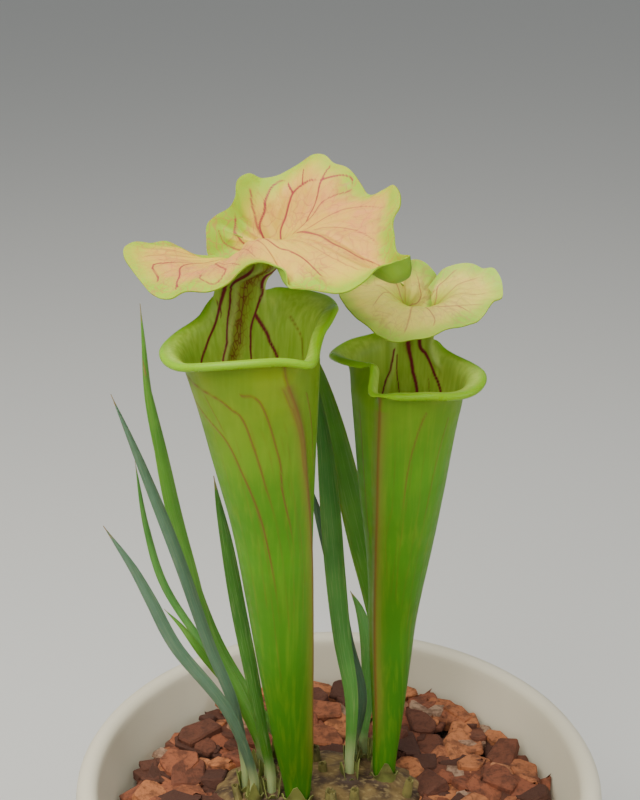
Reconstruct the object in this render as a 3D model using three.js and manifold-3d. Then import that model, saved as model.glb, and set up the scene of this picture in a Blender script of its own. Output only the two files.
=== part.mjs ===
// Potted yellow pitcher plant: two tall pitchers with wavy hoods, a fan of
// sword leaves, a knobbly crown, bark mulch over potting mix, and a round pot.
// Millimetres, +Z up, origin in the middle of the pot's flat underside.
// The mouths of the pitchers face -Y.

import * as THREE from 'three'
import { mergeVertices } from 'three/addons/utils/BufferGeometryUtils.js'
import Module from 'manifold-3d'

const wasm = await Module()
wasm.setup()

// Driving sizes
const GAP = 0.35            // air between two pieces that touch
const WALL = 1.1            // thickness of a pitcher's wall and hood
const ROLL = 1.5            // radius of the rolled lip
const STEM_FOOT = 160       // lowest point of every stem

const POT = {
  height: 190,
  footRadius: 96,
  shoulderRadius: 127,
  rimRadius: 140,
  rimDepth: 34,
  wall: 9,
  floor: 10,
  sides: 48,
  drainRadius: 6,
  drainCircle: 48,
  drains: 4,
}

const SOIL_TOP = 157
const MULCH_TOP = 165

const CROWN = {
  centre: [-10, 8, 162],
  radii: [59, 38, 15],
  columns: 26,
  rows: 10,
  stumps: [[-4, -12, 4.5, 9], [8, -8, 3.8, 7], [-8, 14, 3.6, 8], [-12, 27, 4.2, 9],
    [36, 2, 3.4, 6], [-52, -3, 3.2, 6], [-16, 6, 3, 7]],
}

const CHIPS = { count: 54, length: 27, width: 15, thickness: 5, seed: 11 }

// A pitcher is one thin sheet. Its tube follows an axis, flares to a rolled
// lip, and at the back runs on up a narrow neck that fans out into the hood.
//   axis    [height, x, y, radius]
//   keel    [height, bearing, how far the wing stands out]
//   lip     [bearing, reach from the mouth's centre, rise, lean, roll]
//   margin  [x, y, z from the hood's centre, tilt of the edge, height of the
//            middle, length of the edge], from the tip of the hood round each
//            side to the notch behind the neck
// Bearings are degrees anticlockwise from +X. Lean is from upright.
const FRONT_PITCHER = {
  name: 'pitcher_front',
  axis: [[160, -22, -8, 5.2], [172, -22, -8, 5.8], [184, -22.1, -8.1, 6.9], [205, -24, -9.4, 8.8],
    [240, -26.6, -11, 11.5], [270, -28.5, -12, 14], [303, -30.7, -12, 16.4], [344, -33.5, -12, 19.9],
    [380, -37, -12, 24.7], [409, -39.7, -12, 28.7], [430, -42.2, -12, 32]],
  keel: [[160, -20, 0], [180, -20, 0], [200, -20, 1], [240, -21, 1.3], [277, -21, 1.3], [318, -22, 1.3],
    [347, -29, 1.3], [376, -39, 1.4], [401, -45, 1.5], [414, -51, 1.4], [427, -58, 1.2]],
  wallRows: [160, 178, 192, 212, 238, 266, 296, 326, 354, 380, 404, 418, 427],
  mouth: [-44, -12, 445],
  neck: { bearing: 98, halfAngle: 20, topRadius: 12, topBearing: 21, leftTurn: 105, rightTurn: 95,
    turnOut: 0.6, up: [0.1, -0.1, 1], drop: 9 },
  lip: [[98, 33, 9, 2, 0], [88, 33.6, 8.8, 2, 0], [78, 35, 7.2, 5, 0], [70, 39.5, 5.9, 25, 60],
    [60, 43, 5.8, 55, 110], [48, 45.5, 5.8, 70, 120], [35, 45.5, 6.2, 75, 120], [22, 43.5, 6, 75, 120],
    [10, 40.5, 6.5, 75, 110], [0, 37.5, 4.2, 75, 110], [-10, 35.2, 2, 75, 120],
    [-20, 34.8, -1, 70, 130], [-30, 36.5, -3.5, 70, 150], [-38, 39.5, -4.8, 80, 170],
    [-45, 41.5, -5.2, 85, 180], [-52, 39, -4, 85, 190], [-62, 36.5, -2.8, 85, 195],
    [-75, 36, -2.2, 85, 200], [-90, 36, -2.4, 85, 200], [-105, 36.5, -3.4, 85, 200],
    [-122, 37.5, -5.4, 85, 200], [-140, 39, -8, 85, 200], [-155, 39.3, -8.8, 85, 190],
    [-170, 39, -8.8, 85, 170], [-185, 38.3, -9.2, 80, 150], [-198, 37, -8.4, 75, 140],
    [-210, 36, -7.2, 70, 130], [-220, 34.8, -5.8, 60, 120], [-230, 34.4, -3.2, 40, 100],
    [-237, 35.2, 0.8, 20, 60], [-242, 36.5, 5, 8, 0], [-252, 34.5, 8, 3, 0]],
  bearings: [118, 111, 104, 98, 92, 85, 78, 70, 60, 48, 35, 22, 10, -2, -14, -26, -36, -45, -51, -58, -67,
    -80, -95, -111, -127, -144, -165, -180, -193, -206, -218, -229, -236],
  hood: {
    centre: [-38, 20, 474],
    outer: 72,
    inner: 36,
    left: [[67, -73, 20.5, 88, 14, 10], [61.5, -76.5, 18.8, 90, 14, 11], [58, -79, 17.8, 85, 14, 7],
      [55.5, -80.5, 17.2, 50, 14, 5], [53, -82, 16.6, 20, 14, 5], [48.5, -84.5, 12.5, 8, 14, 7],
      [42, -87, 8.5, 5, 13.5, 8], [29, -76, 3.6, 0, 13.5, 8], [20, -71, 3.2, 0, 13, 7],
      [14.6, -67, 2.6, 0, 12.5, 6], [12.4, -60, 8.4, 5, 12, 5], [8, -56, 8.8, 5, 11, 6],
      [3.3, -52, 8.8, 5, 9, 8], [-2.8, -47, 6.7, 0, 6.5, 9], [-8, -46, 2.3, -10, 3.5, 9],
      [-13, -49, -2.2, -20, 1, 9], [-21, -51, -5.2, -25, -1, 9],
      [-34, -48, -6.6, -20, -2, 9], [-38, -47.5, -9.4, -28, -3, 9], [-42, -45, -10.8, -30, -3.5, 9],
      [-49, -37, -11, -30, -4.5, 9], [-54, -27, -9.6, -22, -5, 9], [-60, -17, -6.2, -10, -5, 9],
      [-65, -7, -2.6, 0, -5.5, 9], [-65.5, 2, -0.6, 5, -5.5, 9], [-61, 8, 0, 8, -6, 9],
      [-55, 11, -2, 0, -8, 9], [-47, 16, -2, 15, -11, 9], [-41, 15.5, -4.2, 20, -13.5, 9],
      [-32, 15, -8.5, 15, -14, 8], [-27, 18, -10, 10, -13.5, 7], [-23, 20, -10.5, 5, -12, 6]],
    right: [[67, -73, 20.5, 88, 14, 10], [62, -67, 18.3, 70, 14.5, 9], [60.5, -57, 23.3, 50, 14.5, 9],
      [61, -45, 28, 45, 14.5, 9], [63.8, -38, 30, 35, 14, 9], [64, -27, 35, 40, 13.5, 9],
      [62, -22, 36.5, 45, 13, 9], [57, -16, 32, 30, 13, 9], [51, -10, 28.5, 20, 13, 9],
      [47.5, -5, 32.5, 30, 12.5, 9], [41, 8, 37, 32, 12, 9], [35, 14, 37.7, 35, 11.5, 9],
      [31, 19, 40, 38, 11, 9], [26.5, 23, 39.5, 40, 10.5, 9], [17, 26, 33, 38, 9, 9],
      [4.5, 26.5, 27.5, 40, 6, 9], [-1, 26, 27, 45, 4, 9], [-6.5, 25, 30, 60, 2, 9],
      [-11.5, 24, 28, 70, 0, 9], [-13, 24, 19, 70, -3, 9], [-16, 24.5, 13.5, 60, -4, 9],
      [-23.5, 25.5, 8.7, 40, -3, 9], [-27.5, 26, 4.5, 10, -3.5, 9], [-28, 25, -3, -20, -5, 8],
      [-27, 24, -12, -30, -7, 8], [-22, 20, -13.5, -15, -9, 7], [-17, 17, -12, 0, -9.5, 5]],
  },
}

const BACK_PITCHER = {
  name: 'pitcher_back',
  axis: [[160, 25, 12, 4.8], [172, 25, 12, 5.2], [184, 25.1, 12.6, 6], [200, 26.2, 16, 7.1],
    [225, 27.4, 23, 9.4], [245, 28, 27.5, 11.2], [261, 28.7, 30, 12.3], [282, 30.1, 30, 14],
    [304, 31.3, 30, 16.6], [342, 32.1, 30, 21.7], [378, 33.3, 32, 25.9], [393, 34, 33, 27.9],
    [400, 34, 33, 28.6]],
  keel: [[160, -128, 0], [180, -128, 0], [200, -128, 1], [250, -131, 1.3], [280, -135, 1.3],
    [315, -130, 1.4], [335, -125, 1.5], [353, -123, 1.6], [380, -121, 1.6], [394, -120, 1.4]],
  wallRows: [160, 178, 192, 210, 232, 254, 276, 300, 324, 348, 370, 386, 394],
  mouth: [34, 33, 409],
  neck: { bearing: 83.5, halfAngle: 22, topRadius: 7.5, topBearing: -12, leftTurn: 135, rightTurn: 125,
    turnOut: 0.9, up: [0, -0.05, 1], drop: 8 },
  lip: [[83.5, 29, 8, 2, 0], [72, 29.6, 7, 4, 0], [61.5, 31, 3.5, 10, 0], [54, 31.5, -1.2, 35, 90],
    [44, 31.8, -3, 55, 110], [32, 32.5, -3.6, 65, 120], [20, 34, -3.8, 70, 130],
    [8, 35.4, -3.4, 75, 140], [-5, 36.8, -2.4, 80, 150], [-17, 38.2, -2.2, 85, 170],
    [-30, 39, -2.8, 85, 190], [-45, 39, -3, 85, 200], [-60, 38, -2.2, 85, 200],
    [-75, 36, -1.2, 85, 200], [-90, 33, -2.2, 85, 200], [-104, 32, -3, 85, 130],
    [-114, 36, -2.8, 85, 50], [-120, 39.5, -1.6, 85, 40], [-123.5, 36, 0.2, 80, 40],
    [-127, 31, 3.8, 75, 50], [-133, 26.6, 6.8, 70, 70], [-143, 26, 6.8, 70, 130],
    [-155, 28.6, 6.4, 70, 150], [-168, 33.2, 6.2, 75, 150], [-180, 36.6, 5.6, 80, 150],
    [-192, 38, 3.6, 80, 150], [-205, 37.4, 3.4, 75, 130], [-220, 35.5, 4.4, 70, 120],
    [-235, 33, 4.8, 55, 110], [-247, 31, 5.5, 25, 60], [-254.5, 29.5, 6.5, 5, 0],
    [-265, 29, 7.5, 2, 0]],
  bearings: [105.5, 98, 91, 83.5, 76, 69, 61.5, 54, 44, 32, 20, 7, -6, -20, -34, -48, -62, -76, -90,
    -103, -113, -120, -124, -129, -136, -146, -158, -171, -184, -197, -211, -226, -240, -247],
  hood: {
    centre: [40, 61, 433],
    outer: 60,
    inner: 30,
    left: [[-15, -44, -6, -20, 1, 8], [-22, -43.5, -2.8, -15, 1.5, 8], [-27, -41, 0.8, -5, 2.5, 8],
      [-33, -36, 3.6, 0, 3.5, 8], [-37, -28, 6, 5, 4.5, 8], [-41, -16, 9.6, 10, 5.5, 8],
      [-40, -7, 11.3, 15, 6, 8], [-36, -1, 12, 20, 6, 8], [-30, 3, 11.7, 20, 5.5, 6],
      [-23, 6, 12.5, 25, 5, 5], [-18, 9, 14, 35, 4.5, 5], [-12, 13, 7.5, 10, 2.5, 5],
      [-6, 21, 14, 50, 1, 8], [1, 25, 14.3, 55, 0, 8], [5, 25, 12.7, 50, -1, 8],
      [9, 24.5, 9, 40, -4, 8], [13, 24, 3, 20, -7.5, 7], [16, 22, -4, 0, -8.5, 6],
      [15, 19.5, -9, 0, -9.5, 6]],
    right: [[-15, -44, -6, -20, 1, 8], [-6, -41, -6.5, -25, 0.5, 8], [4, -36, -6.8, -25, 0.5, 8],
      [12, -32, -4.6, -18, 1, 8], [22, -26, -4.7, -18, 1, 8], [29, -21, -4.2, -15, 1.5, 8],
      [33, -16, -2, -10, 2, 8], [39, -7, 2.3, 5, 3, 8], [43, -3, 2.5, 0, 3.5, 8],
      [44, 3, 5.3, 10, 4, 8], [43, 10, 10, 25, 4.5, 8], [40, 15, 12.8, 30, 4.5, 8],
      [35, 16.5, 11.8, 20, 4.5, 8], [30, 19, 13.5, 30, 4, 8], [25, 21, 13.4, 35, 3.5, 8],
      [19, 22, 11.7, 35, 2.5, 8], [14, 21.5, 9.5, 30, 1, 7], [10.5, 20, 5.5, 15, -1, 6],
      [6.5, 18, 1, 0, -3, 5]],
  },
}

// A leaf rises straight out of the crown at its root and then follows its
// points. Its faces turn from one plan bearing to another on the way up.
const LEAVES = [
  { name: 'leaf_broad_behind_tubes', root: [22, 27], width: 14, turn: [8, 20], colour: 'leafGreen',
    way: [[29, 34, 209], [20, 50, 263], [12, 53, 299], [3, 55, 340], [-5, 57, 374], [-11, 59, 396],
      [-17, 61, 412]] },
  { name: 'leaf_dark_behind_tubes', root: [6, 9], width: 11, turn: [0, 15], colour: 'leafDeep',
    way: [[7, 14, 223], [2, 22, 255], [-2, 30, 293], [-5, 36, 332], [-8, 42, 363], [-11, 47, 384],
      [-14, 51, 399]] },
  { name: 'leaf_blue_behind_tubes', root: [8, 22], width: 7, turn: [10, 30], colour: 'leafBlue',
    way: [[13, 28, 214], [5, 39, 245], [-1, 45, 276], [-8, 50, 304], [-13, 54, 322], [-19, 59, 338]] },
  { name: 'leaf_short_behind_tubes', root: [14, 31], width: 8, turn: [-10, 10], colour: 'leafDeep',
    way: [[17, 44, 209], [16, 56, 236], [12, 63, 250], [7, 67, 259]] },
  { name: 'leaf_tall_left', root: [-38, 8], width: 9, turn: [20, 40], colour: 'leafGreen',
    way: [[-53, 12, 227], [-69, 24, 254], [-81, 36, 296], [-88, 42, 326], [-95, 47, 367],
      [-98, 50, 385], [-101, 52, 404]] },
  { name: 'leaf_narrow_left', root: [-28, 19], width: 6, turn: [10, 30], colour: 'leafGreen',
    way: [[-46, 22, 216], [-66, 36, 246], [-82, 48, 289], [-92, 56, 334], [-100, 62, 377],
      [-102, 66, 410], [-103, 68, 429]] },
  { name: 'leaf_bright_short', root: [-36, -5], width: 8, turn: [0, 20], colour: 'leafBright',
    way: [[-41, -3, 218], [-46, 2, 248], [-52, 9, 280], [-58, 15, 318], [-62, 19, 340],
      [-64, 21, 353]] },
  { name: 'leaf_blue_left', root: [-50, 2], width: 6.5, turn: [10, 30], colour: 'leafBlue',
    way: [[-56, 3, 228], [-68, 8, 261], [-82, 10, 310], [-93, 12, 344], [-104, 14, 376],
      [-113, 16, 400]] },
  { name: 'leaf_blue_low_left', root: [-45, -8], width: 6.5, turn: [0, 25], colour: 'leafBlue',
    way: [[-58, -15, 236], [-83, -18, 277], [-94, -20, 305], [-102, -20, 323], [-115, -20, 346]] },
  { name: 'leaf_young_left', root: [-43, 21], width: 5, turn: [15, 35], colour: 'leafBright',
    way: [[-56, 20, 222], [-75, 19, 252], [-84, 22, 264], [-93, 26, 272]] },
  { name: 'leaf_thin_left', root: [-33, 30], width: 4.5, turn: [10, 30], colour: 'leafDeep',
    way: [[-52, 34, 208], [-74, 46, 236], [-96, 58, 268], [-105, 64, 300], [-110, 68, 339]] },
]

const LEAF = { rootWidth: 5, rootThickness: 3.2, thickness: 1.5, edge: 0.7, steps: 13, straightTop: 181 }

// Materials
const COLOURS = {
  cream: [0xd9d0b8, 0.75],
  soil: [0x3a2a1f, 1],
  bark: [0x8a4f30, 0.95],
  crown: [0x6d5a38, 0.9],
  pitcher: [0x8fb536, 0.45],
  leafGreen: [0x4f7f34, 0.5],
  leafDeep: [0x38622c, 0.55],
  leafBright: [0x6fa035, 0.5],
  leafBlue: [0x6f9583, 0.55],
}
const MATERIALS = {}
for (const [name, [color, roughness]] of Object.entries(COLOURS)) {
  MATERIALS[name] = new THREE.MeshStandardMaterial({ name, color, roughness, metalness: 0 })
}

// Small helpers
const radians = THREE.MathUtils.degToRad
const vec = (x, y, z) => new THREE.Vector3(x, y, z)
const planDirection = (bearing) => vec(Math.cos(radians(bearing)), Math.sin(radians(bearing)), 0)
const mix = THREE.MathUtils.lerp

function seededRandom(seed) {
  let state = seed
  return () => {
    state = (state * 1664525 + 1013904223) % 4294967296
    return state / 4294967296
  }
}

// Values at x on a smooth curve through stations [x, value, value, ...]
function through(stations, x) {
  const last = stations.length - 1
  const at = Math.min(Math.max(x, stations[0][0]), stations[last][0])
  let i = 0
  while (i < last - 1 && stations[i + 1][0] <= at) i += 1
  const slope = (k, column) => {
    const step = (j) => {
      const [low, high] = [stations[j], stations[j + 1]]
      return (high[column] - low[column]) / (high[0] - low[0])
    }
    if (k === 0) return step(0)
    if (k === last) return step(last - 1)
    const before = stations[k][0] - stations[k - 1][0]
    const after = stations[k + 1][0] - stations[k][0]
    return (step(k - 1) * after + step(k) * before) / (before + after)
  }
  const span = stations[i + 1][0] - stations[i][0]
  const t = (at - stations[i][0]) / span
  return stations[i].slice(1).map((value, n) => {
    const next = stations[i + 1][n + 1]
    return hermite(value, next, slope(i, n + 1) * span, slope(i + 1, n + 1) * span, t)
  })
}

function hermite(a, b, slopeA, slopeB, t) {
  const t2 = t * t
  const t3 = t2 * t
  const values = a * (2 * t3 - 3 * t2 + 1) + b * (3 * t2 - 2 * t3)
  return values + slopeA * (t3 - 2 * t2 + t) + slopeB * (t3 - t2)
}

// A full turn of stations by bearing, with the ends repeated so that it closes
function closedThrough(stations, bearing) {
  const sorted = [...stations].sort((a, b) => a[0] - b[0])
  const wrap = (list, turn) => list.map(([first, ...rest]) => [first + turn, ...rest])
  const ring = [...wrap(sorted.slice(-3), -360), ...sorted, ...wrap(sorted.slice(0, 3), 360)]
  let at = bearing
  while (at < sorted[0][0]) at += 360
  while (at >= sorted[0][0] + 360) at -= 360
  return through(ring, at)
}

// Sheet: points and triangles of a thin surface, later given its thickness
class Sheet {
  constructor() {
    this.points = []
    this.triangles = []
  }

  add(point) {
    this.points.push(point)
    return this.points.length - 1
  }

  triangle(a, b, c) {
    if (a !== b && b !== c && c !== a) this.triangles.push([a, b, c])
  }

  // Joins two rows of [point number, place along the row] that may differ in count
  stitch(low, high) {
    let i = 0
    let j = 0
    while (i < low.length - 1 || j < high.length - 1) {
      const nextLow = i < low.length - 1 ? low[i + 1][1] : Infinity
      const nextHigh = j < high.length - 1 ? high[j + 1][1] : Infinity
      const even = Math.abs(nextLow - nextHigh) < 1e-6
      if (nextLow < nextHigh || (even && (i + j) % 4 < 2)) {
        this.triangle(low[i][0], high[j][0], low[i + 1][0])
        i += 1
      } else {
        this.triangle(low[i][0], high[j][0], high[j + 1][0])
        j += 1
      }
    }
  }

  normals() {
    const sums = this.points.map(() => vec(0, 0, 0))
    for (const corners of this.triangles) {
      const [a, b, c] = corners.map((n) => this.points[n])
      const normal = b.clone().sub(a).cross(c.clone().sub(a))
      for (const n of corners) sums[n].add(normal)
    }
    return sums.map((sum) => sum.normalize())
  }

  // The closed body of this sheet with the given thickness
  thicken(thickness) {
    const normals = this.normals()
    const count = this.points.length
    const positions = []
    for (const side of [1, -1]) {
      this.points.forEach((point, n) => {
        const moved = point.clone().addScaledVector(normals[n], side * thickness / 2)
        positions.push(moved.x, moved.y, moved.z)
      })
    }
    const index = []
    const edges = new Map()
    for (const [a, b, c] of this.triangles) {
      index.push(a, b, c)
      index.push(c + count, b + count, a + count)
      for (const [from, to] of [[a, b], [b, c], [c, a]]) edges.set(`${from} ${to}`, [from, to])
    }
    for (const [from, to] of edges.values()) {
      if (edges.has(`${to} ${from}`)) continue
      index.push(to, from, from + count)
      index.push(to, from + count, to + count)
    }
    return geometryFrom(positions, index)
  }
}

function geometryFrom(positions, index) {
  const geometry = new THREE.BufferGeometry()
  geometry.setAttribute('position', new THREE.Float32BufferAttribute(positions, 3))
  geometry.setIndex(index)
  return geometry
}

// Solids for joining and cutting
function solid(geometry) {
  const bare = geometry.clone()
  bare.deleteAttribute('normal')
  bare.deleteAttribute('uv')
  const merged = mergeVertices(bare, 1e-4)
  const mesh = new wasm.Mesh({
    numProp: 3,
    vertProperties: new Float32Array(merged.attributes.position.array),
    triVerts: new Uint32Array(merged.index.array),
  })
  return new wasm.Manifold(mesh)
}

function geometryOf(manifold) {
  const mesh = manifold.getMesh()
  return geometryFrom(Array.from(mesh.vertProperties), Array.from(mesh.triVerts))
}

// Drops crumbs that a cut has left beside the main body
function largest(manifold) {
  return manifold.decompose().sort((a, b) => b.volume() - a.volume())[0]
}

function upright(radius, low, high, x, y, sides = 20) {
  const cylinder = new THREE.CylinderGeometry(radius, radius, high - low, sides)
  cylinder.rotateX(Math.PI / 2)
  cylinder.translate(x, y, (low + high) / 2)
  return solid(cylinder)
}

function turned(profile, sides) {
  const lathe = new THREE.LatheGeometry(profile.map(([r, z]) => new THREE.Vector2(r, z)), sides)
  lathe.rotateX(Math.PI / 2)
  return lathe
}

// Pitcher: the tube's wall
function keelBearing(pitcher, height) {
  return through(pitcher.keel, height)
}

// The columns of the sheet follow the keel down the tube
function wallPoint(pitcher, bearing, height) {
  const [x, y, radius] = through(pitcher.axis, height)
  const [keel, proud] = keelBearing(pitcher, height)
  const [keelTop] = keelBearing(pitcher, pitcher.wallRows.at(-1))
  const fromKeel = ((bearing - keelTop + 540) % 360 + 360) % 360 - 180
  const turn = (keel - keelTop) * Math.exp(-((fromKeel / 75) ** 2))
  const crest = proud * Math.exp(-((radians(fromKeel) * radius / 3) ** 2))
  return planDirection(bearing + turn).multiplyScalar(radius + crest).add(vec(x, y, height))
}

function lipCrest({ lip, mouth }, bearing) {
  const [reach, rise] = closedThrough(lip, bearing)
  return planDirection(bearing).multiplyScalar(reach).add(vec(mouth[0], mouth[1], mouth[2] + rise))
}

// The sheet reaches the crest along rim, turned most of the way square to
// the lip, and rolls over to fall
function lipPoint(pitcher, bearing) {
  const [, , lean, roll] = closedThrough(pitcher.lip, bearing)
  const point = lipCrest(pitcher, bearing)
  const along = lipCrest(pitcher, bearing + 0.5).sub(lipCrest(pitcher, bearing - 0.5)).normalize()
  const rim = planDirection(bearing).multiplyScalar(Math.sin(radians(lean)))
  rim.z = Math.cos(radians(lean))
  rim.addScaledVector(along, -0.6 * rim.dot(along)).normalize()
  const fall = along.clone().cross(rim).normalize()
  return { point, rim, fall, roll: radians(Math.max(0, roll)) }
}

function flarePoint(pitcher, bearing, share) {
  const top = pitcher.wallRows.at(-1)
  const start = wallPoint(pitcher, bearing, top)
  const slope = start.clone().sub(wallPoint(pitcher, bearing, top - 3)).normalize()
  const { point, rim } = lipPoint(pitcher, bearing)
  const reach = point.distanceTo(start) * 0.45
  return new THREE.CubicBezierCurve3(start, start.clone().addScaledVector(slope, reach),
    point.clone().addScaledVector(rim, -reach), point).getPoint(share)
}

function rollPoint(pitcher, bearing, share) {
  const { point, rim, fall, roll } = lipPoint(pitcher, bearing)
  const angle = roll * share
  point.addScaledVector(rim, ROLL * Math.sin(angle))
  return point.addScaledVector(fall, ROLL * (1 - Math.cos(angle)))
}

// Pitcher: the hood, a fan of meridians from the top of the neck to the margin
const MERIDIAN = [0, 0.4, 0.85, 1]

function marginStations({ left, right }) {
  const withLength = (side, sign) => {
    let run = 0
    const runs = side.map((station, n) => {
      if (n > 0) run += vec(...station.slice(0, 3)).distanceTo(vec(...side[n - 1].slice(0, 3)))
      return run
    })
    return side.map((station, n) => [sign * runs[n] / run, ...station])
  }
  return [...withLength(left, -1).reverse().slice(0, -1), ...withLength(right, 1)]
}

// The top of the neck is a gutter, open at the back
function neckTop({ neck, hood }, t) {
  const across = Math.sign(t) * Math.abs(t) ** 0.8
  const turn = radians(across * (across < 0 ? neck.leftTurn : neck.rightTurn))
  const side = planDirection(neck.topBearing)
  const back = vec(-side.y, side.x, 0)
  return vec(...hood.centre).addScaledVector(side, neck.topRadius * Math.sin(turn))
    .addScaledVector(back, 0.75 * neck.topRadius * (1 - Math.cos(turn))).add(vec(0, 0, -neck.drop))
}

function meridian(pitcher, stations, t) {
  const centre = vec(...pitcher.hood.centre)
  const [x, y, z, tilt, middle, edge] = through(stations, t)
  const start = neckTop(pitcher, t)
  const end = centre.clone().add(vec(x, y, z))
  const out = vec(end.x - start.x, end.y - start.y, 0).normalize()
  const bend = end.clone().addScaledVector(out, -edge * Math.cos(radians(tilt)))
  bend.z -= edge * Math.sin(radians(tilt))
  const mid = start.clone().lerp(bend, 0.42)
  mid.z = centre.z + middle
  return { start, mid, bend, end }
}

// The hood leaves the neck going up in the middle, and turned outward at its edges
function hoodHeading({ neck }, t, start, mid) {
  const outward = mid.clone().sub(start).normalize()
  return vec(...neck.up).normalize().lerp(outward, neck.turnOut * Math.abs(t) ** 3).normalize()
}

function hoodPoint(pitcher, stations, t, r) {
  const { start, mid, bend, end } = meridian(pitcher, stations, t)
  const knots = [start, mid, bend, end]
  const up = hoodHeading(pitcher, t, start, mid).multiplyScalar(mid.distanceTo(start) / MERIDIAN[1])
  const values = knots.map((knot, n) => [MERIDIAN[n], knot.x, knot.y, knot.z])
  if (r >= MERIDIAN[1]) return vec(...through(values, r))
  const after = through(values, MERIDIAN[1] + 0.001)
  const slopeMid = after.map((value, n) => (value - values[1][n + 1]) / 0.001)
  const share = r / MERIDIAN[1]
  const coordinates = ['x', 'y', 'z'].map((axis, n) =>
    hermite(start[axis], mid[axis], up[axis] * MERIDIAN[1], slopeMid[n] * MERIDIAN[1], share))
  return vec(...coordinates)
}

// A whole row of the hood, smoothed along the row more and more towards the neck
function hoodRow(pitcher, stations, r, count) {
  const fine = 288
  const raw = []
  for (let n = 0; n <= fine; n += 1) raw.push(hoodPoint(pitcher, stations, 2 * n / fine - 1, r))
  const spread = 0.045 * (1 - r) * fine / 2
  const reach = Math.ceil(3 * spread)
  const beyond = (n) => {
    if (n < 0) return raw[0].clone().multiplyScalar(2).sub(raw[-n])
    if (n > fine) return raw[fine].clone().multiplyScalar(2).sub(raw[2 * fine - n])
    return raw[n]
  }
  const row = []
  for (let k = 0; k <= count; k += 1) {
    const n = Math.round(k * fine / count)
    const sum = vec(0, 0, 0)
    let weights = 0
    for (let step = -reach; step <= reach; step += 1) {
      const weight = spread > 0 ? Math.exp(-0.5 * (step / spread) ** 2) : 1
      sum.addScaledVector(beyond(n + step), weight)
      weights += weight
    }
    row.push(sum.divideScalar(weights))
  }
  return row
}

function buildPitcher(pitcher) {
  const sheet = new Sheet()
  const { bearings, wallRows, neck, hood } = pitcher
  const neckColumns = 6
  const ring = (place) => {
    const row = bearings.map((bearing, n) => [sheet.add(place(bearing)), n])
    return [...row, [row[0][0], bearings.length]]
  }

  // Closed foot, wall and flare
  const rows = wallRows.map((height) => ring((bearing) => wallPoint(pitcher, bearing, height)))
  for (const share of [0.4, 0.75, 1]) rows.push(ring((bearing) => flarePoint(pitcher, bearing, share)))
  const [footX, footY] = through(pitcher.axis, wallRows[0])
  const foot = sheet.add(vec(footX, footY, wallRows[0]))
  for (let n = 0; n < bearings.length; n += 1) sheet.triangle(rows[0][n + 1][0], foot, rows[0][n][0])
  for (let n = 0; n < rows.length - 1; n += 1) sheet.stitch(rows[n], rows[n + 1])

  // Rolled lip, from one side of the neck round the front to the other
  const lip = rows.at(-1)
  let previous = lip.slice(neckColumns)
  for (const share of [0.25, 0.5, 0.75, 1]) {
    const next = previous.map(([, n]) => {
      const atNeck = n === neckColumns || n === bearings.length
      return [atNeck ? lip[n][0] : sheet.add(rollPoint(pitcher, bearings[n], share)), n]
    })
    sheet.stitch(previous, next)
    previous = next
  }

  // Neck, narrowing from the lip to the middle of the hood
  const stations = marginStations(hood)
  const neckRow = (share) => {
    const columns = 2 * neckColumns
    const row = []
    for (let n = 0; n <= columns; n += 1) {
      const across = 2 * n / columns - 1
      const t = Math.sign(across) * Math.abs(across) ** 1.25
      const base = lipPoint(pitcher, neck.bearing - across * neck.halfAngle).point
      const top = neckTop(pitcher, t)
      const height = top.distanceTo(base)
      const up = vec(...neck.up).normalize()
      const path = new THREE.CubicBezierCurve3(base, base.clone().add(vec(0, 0, height * 0.4)),
        top.clone().addScaledVector(up, -height * 0.35), top)
      row.push([sheet.add(path.getPoint(share)), t])
    }
    return row
  }
  let below = lip.slice(0, neckColumns + 1).map(([id], n) => {
    const across = 2 * n / neckColumns - 1
    return [id, Math.sign(across) * Math.abs(across) ** 1.25]
  })
  for (const share of [0.3, 0.65, 1]) {
    const row = neckRow(share)
    sheet.stitch(below, row)
    below = row
  }

  // Hood
  for (const r of [0.12, 0.26, 0.4, 0.55, 0.7, 0.85, 0.93, 1]) {
    const count = r < 0.6 ? hood.inner : hood.outer
    const points = hoodRow(pitcher, stations, r, count)
    const row = points.map((point, n) => [sheet.add(point), 2 * n / count - 1])
    sheet.stitch(below, row)
    below = row
  }
  return sheet.thicken(WALL)
}

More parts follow.
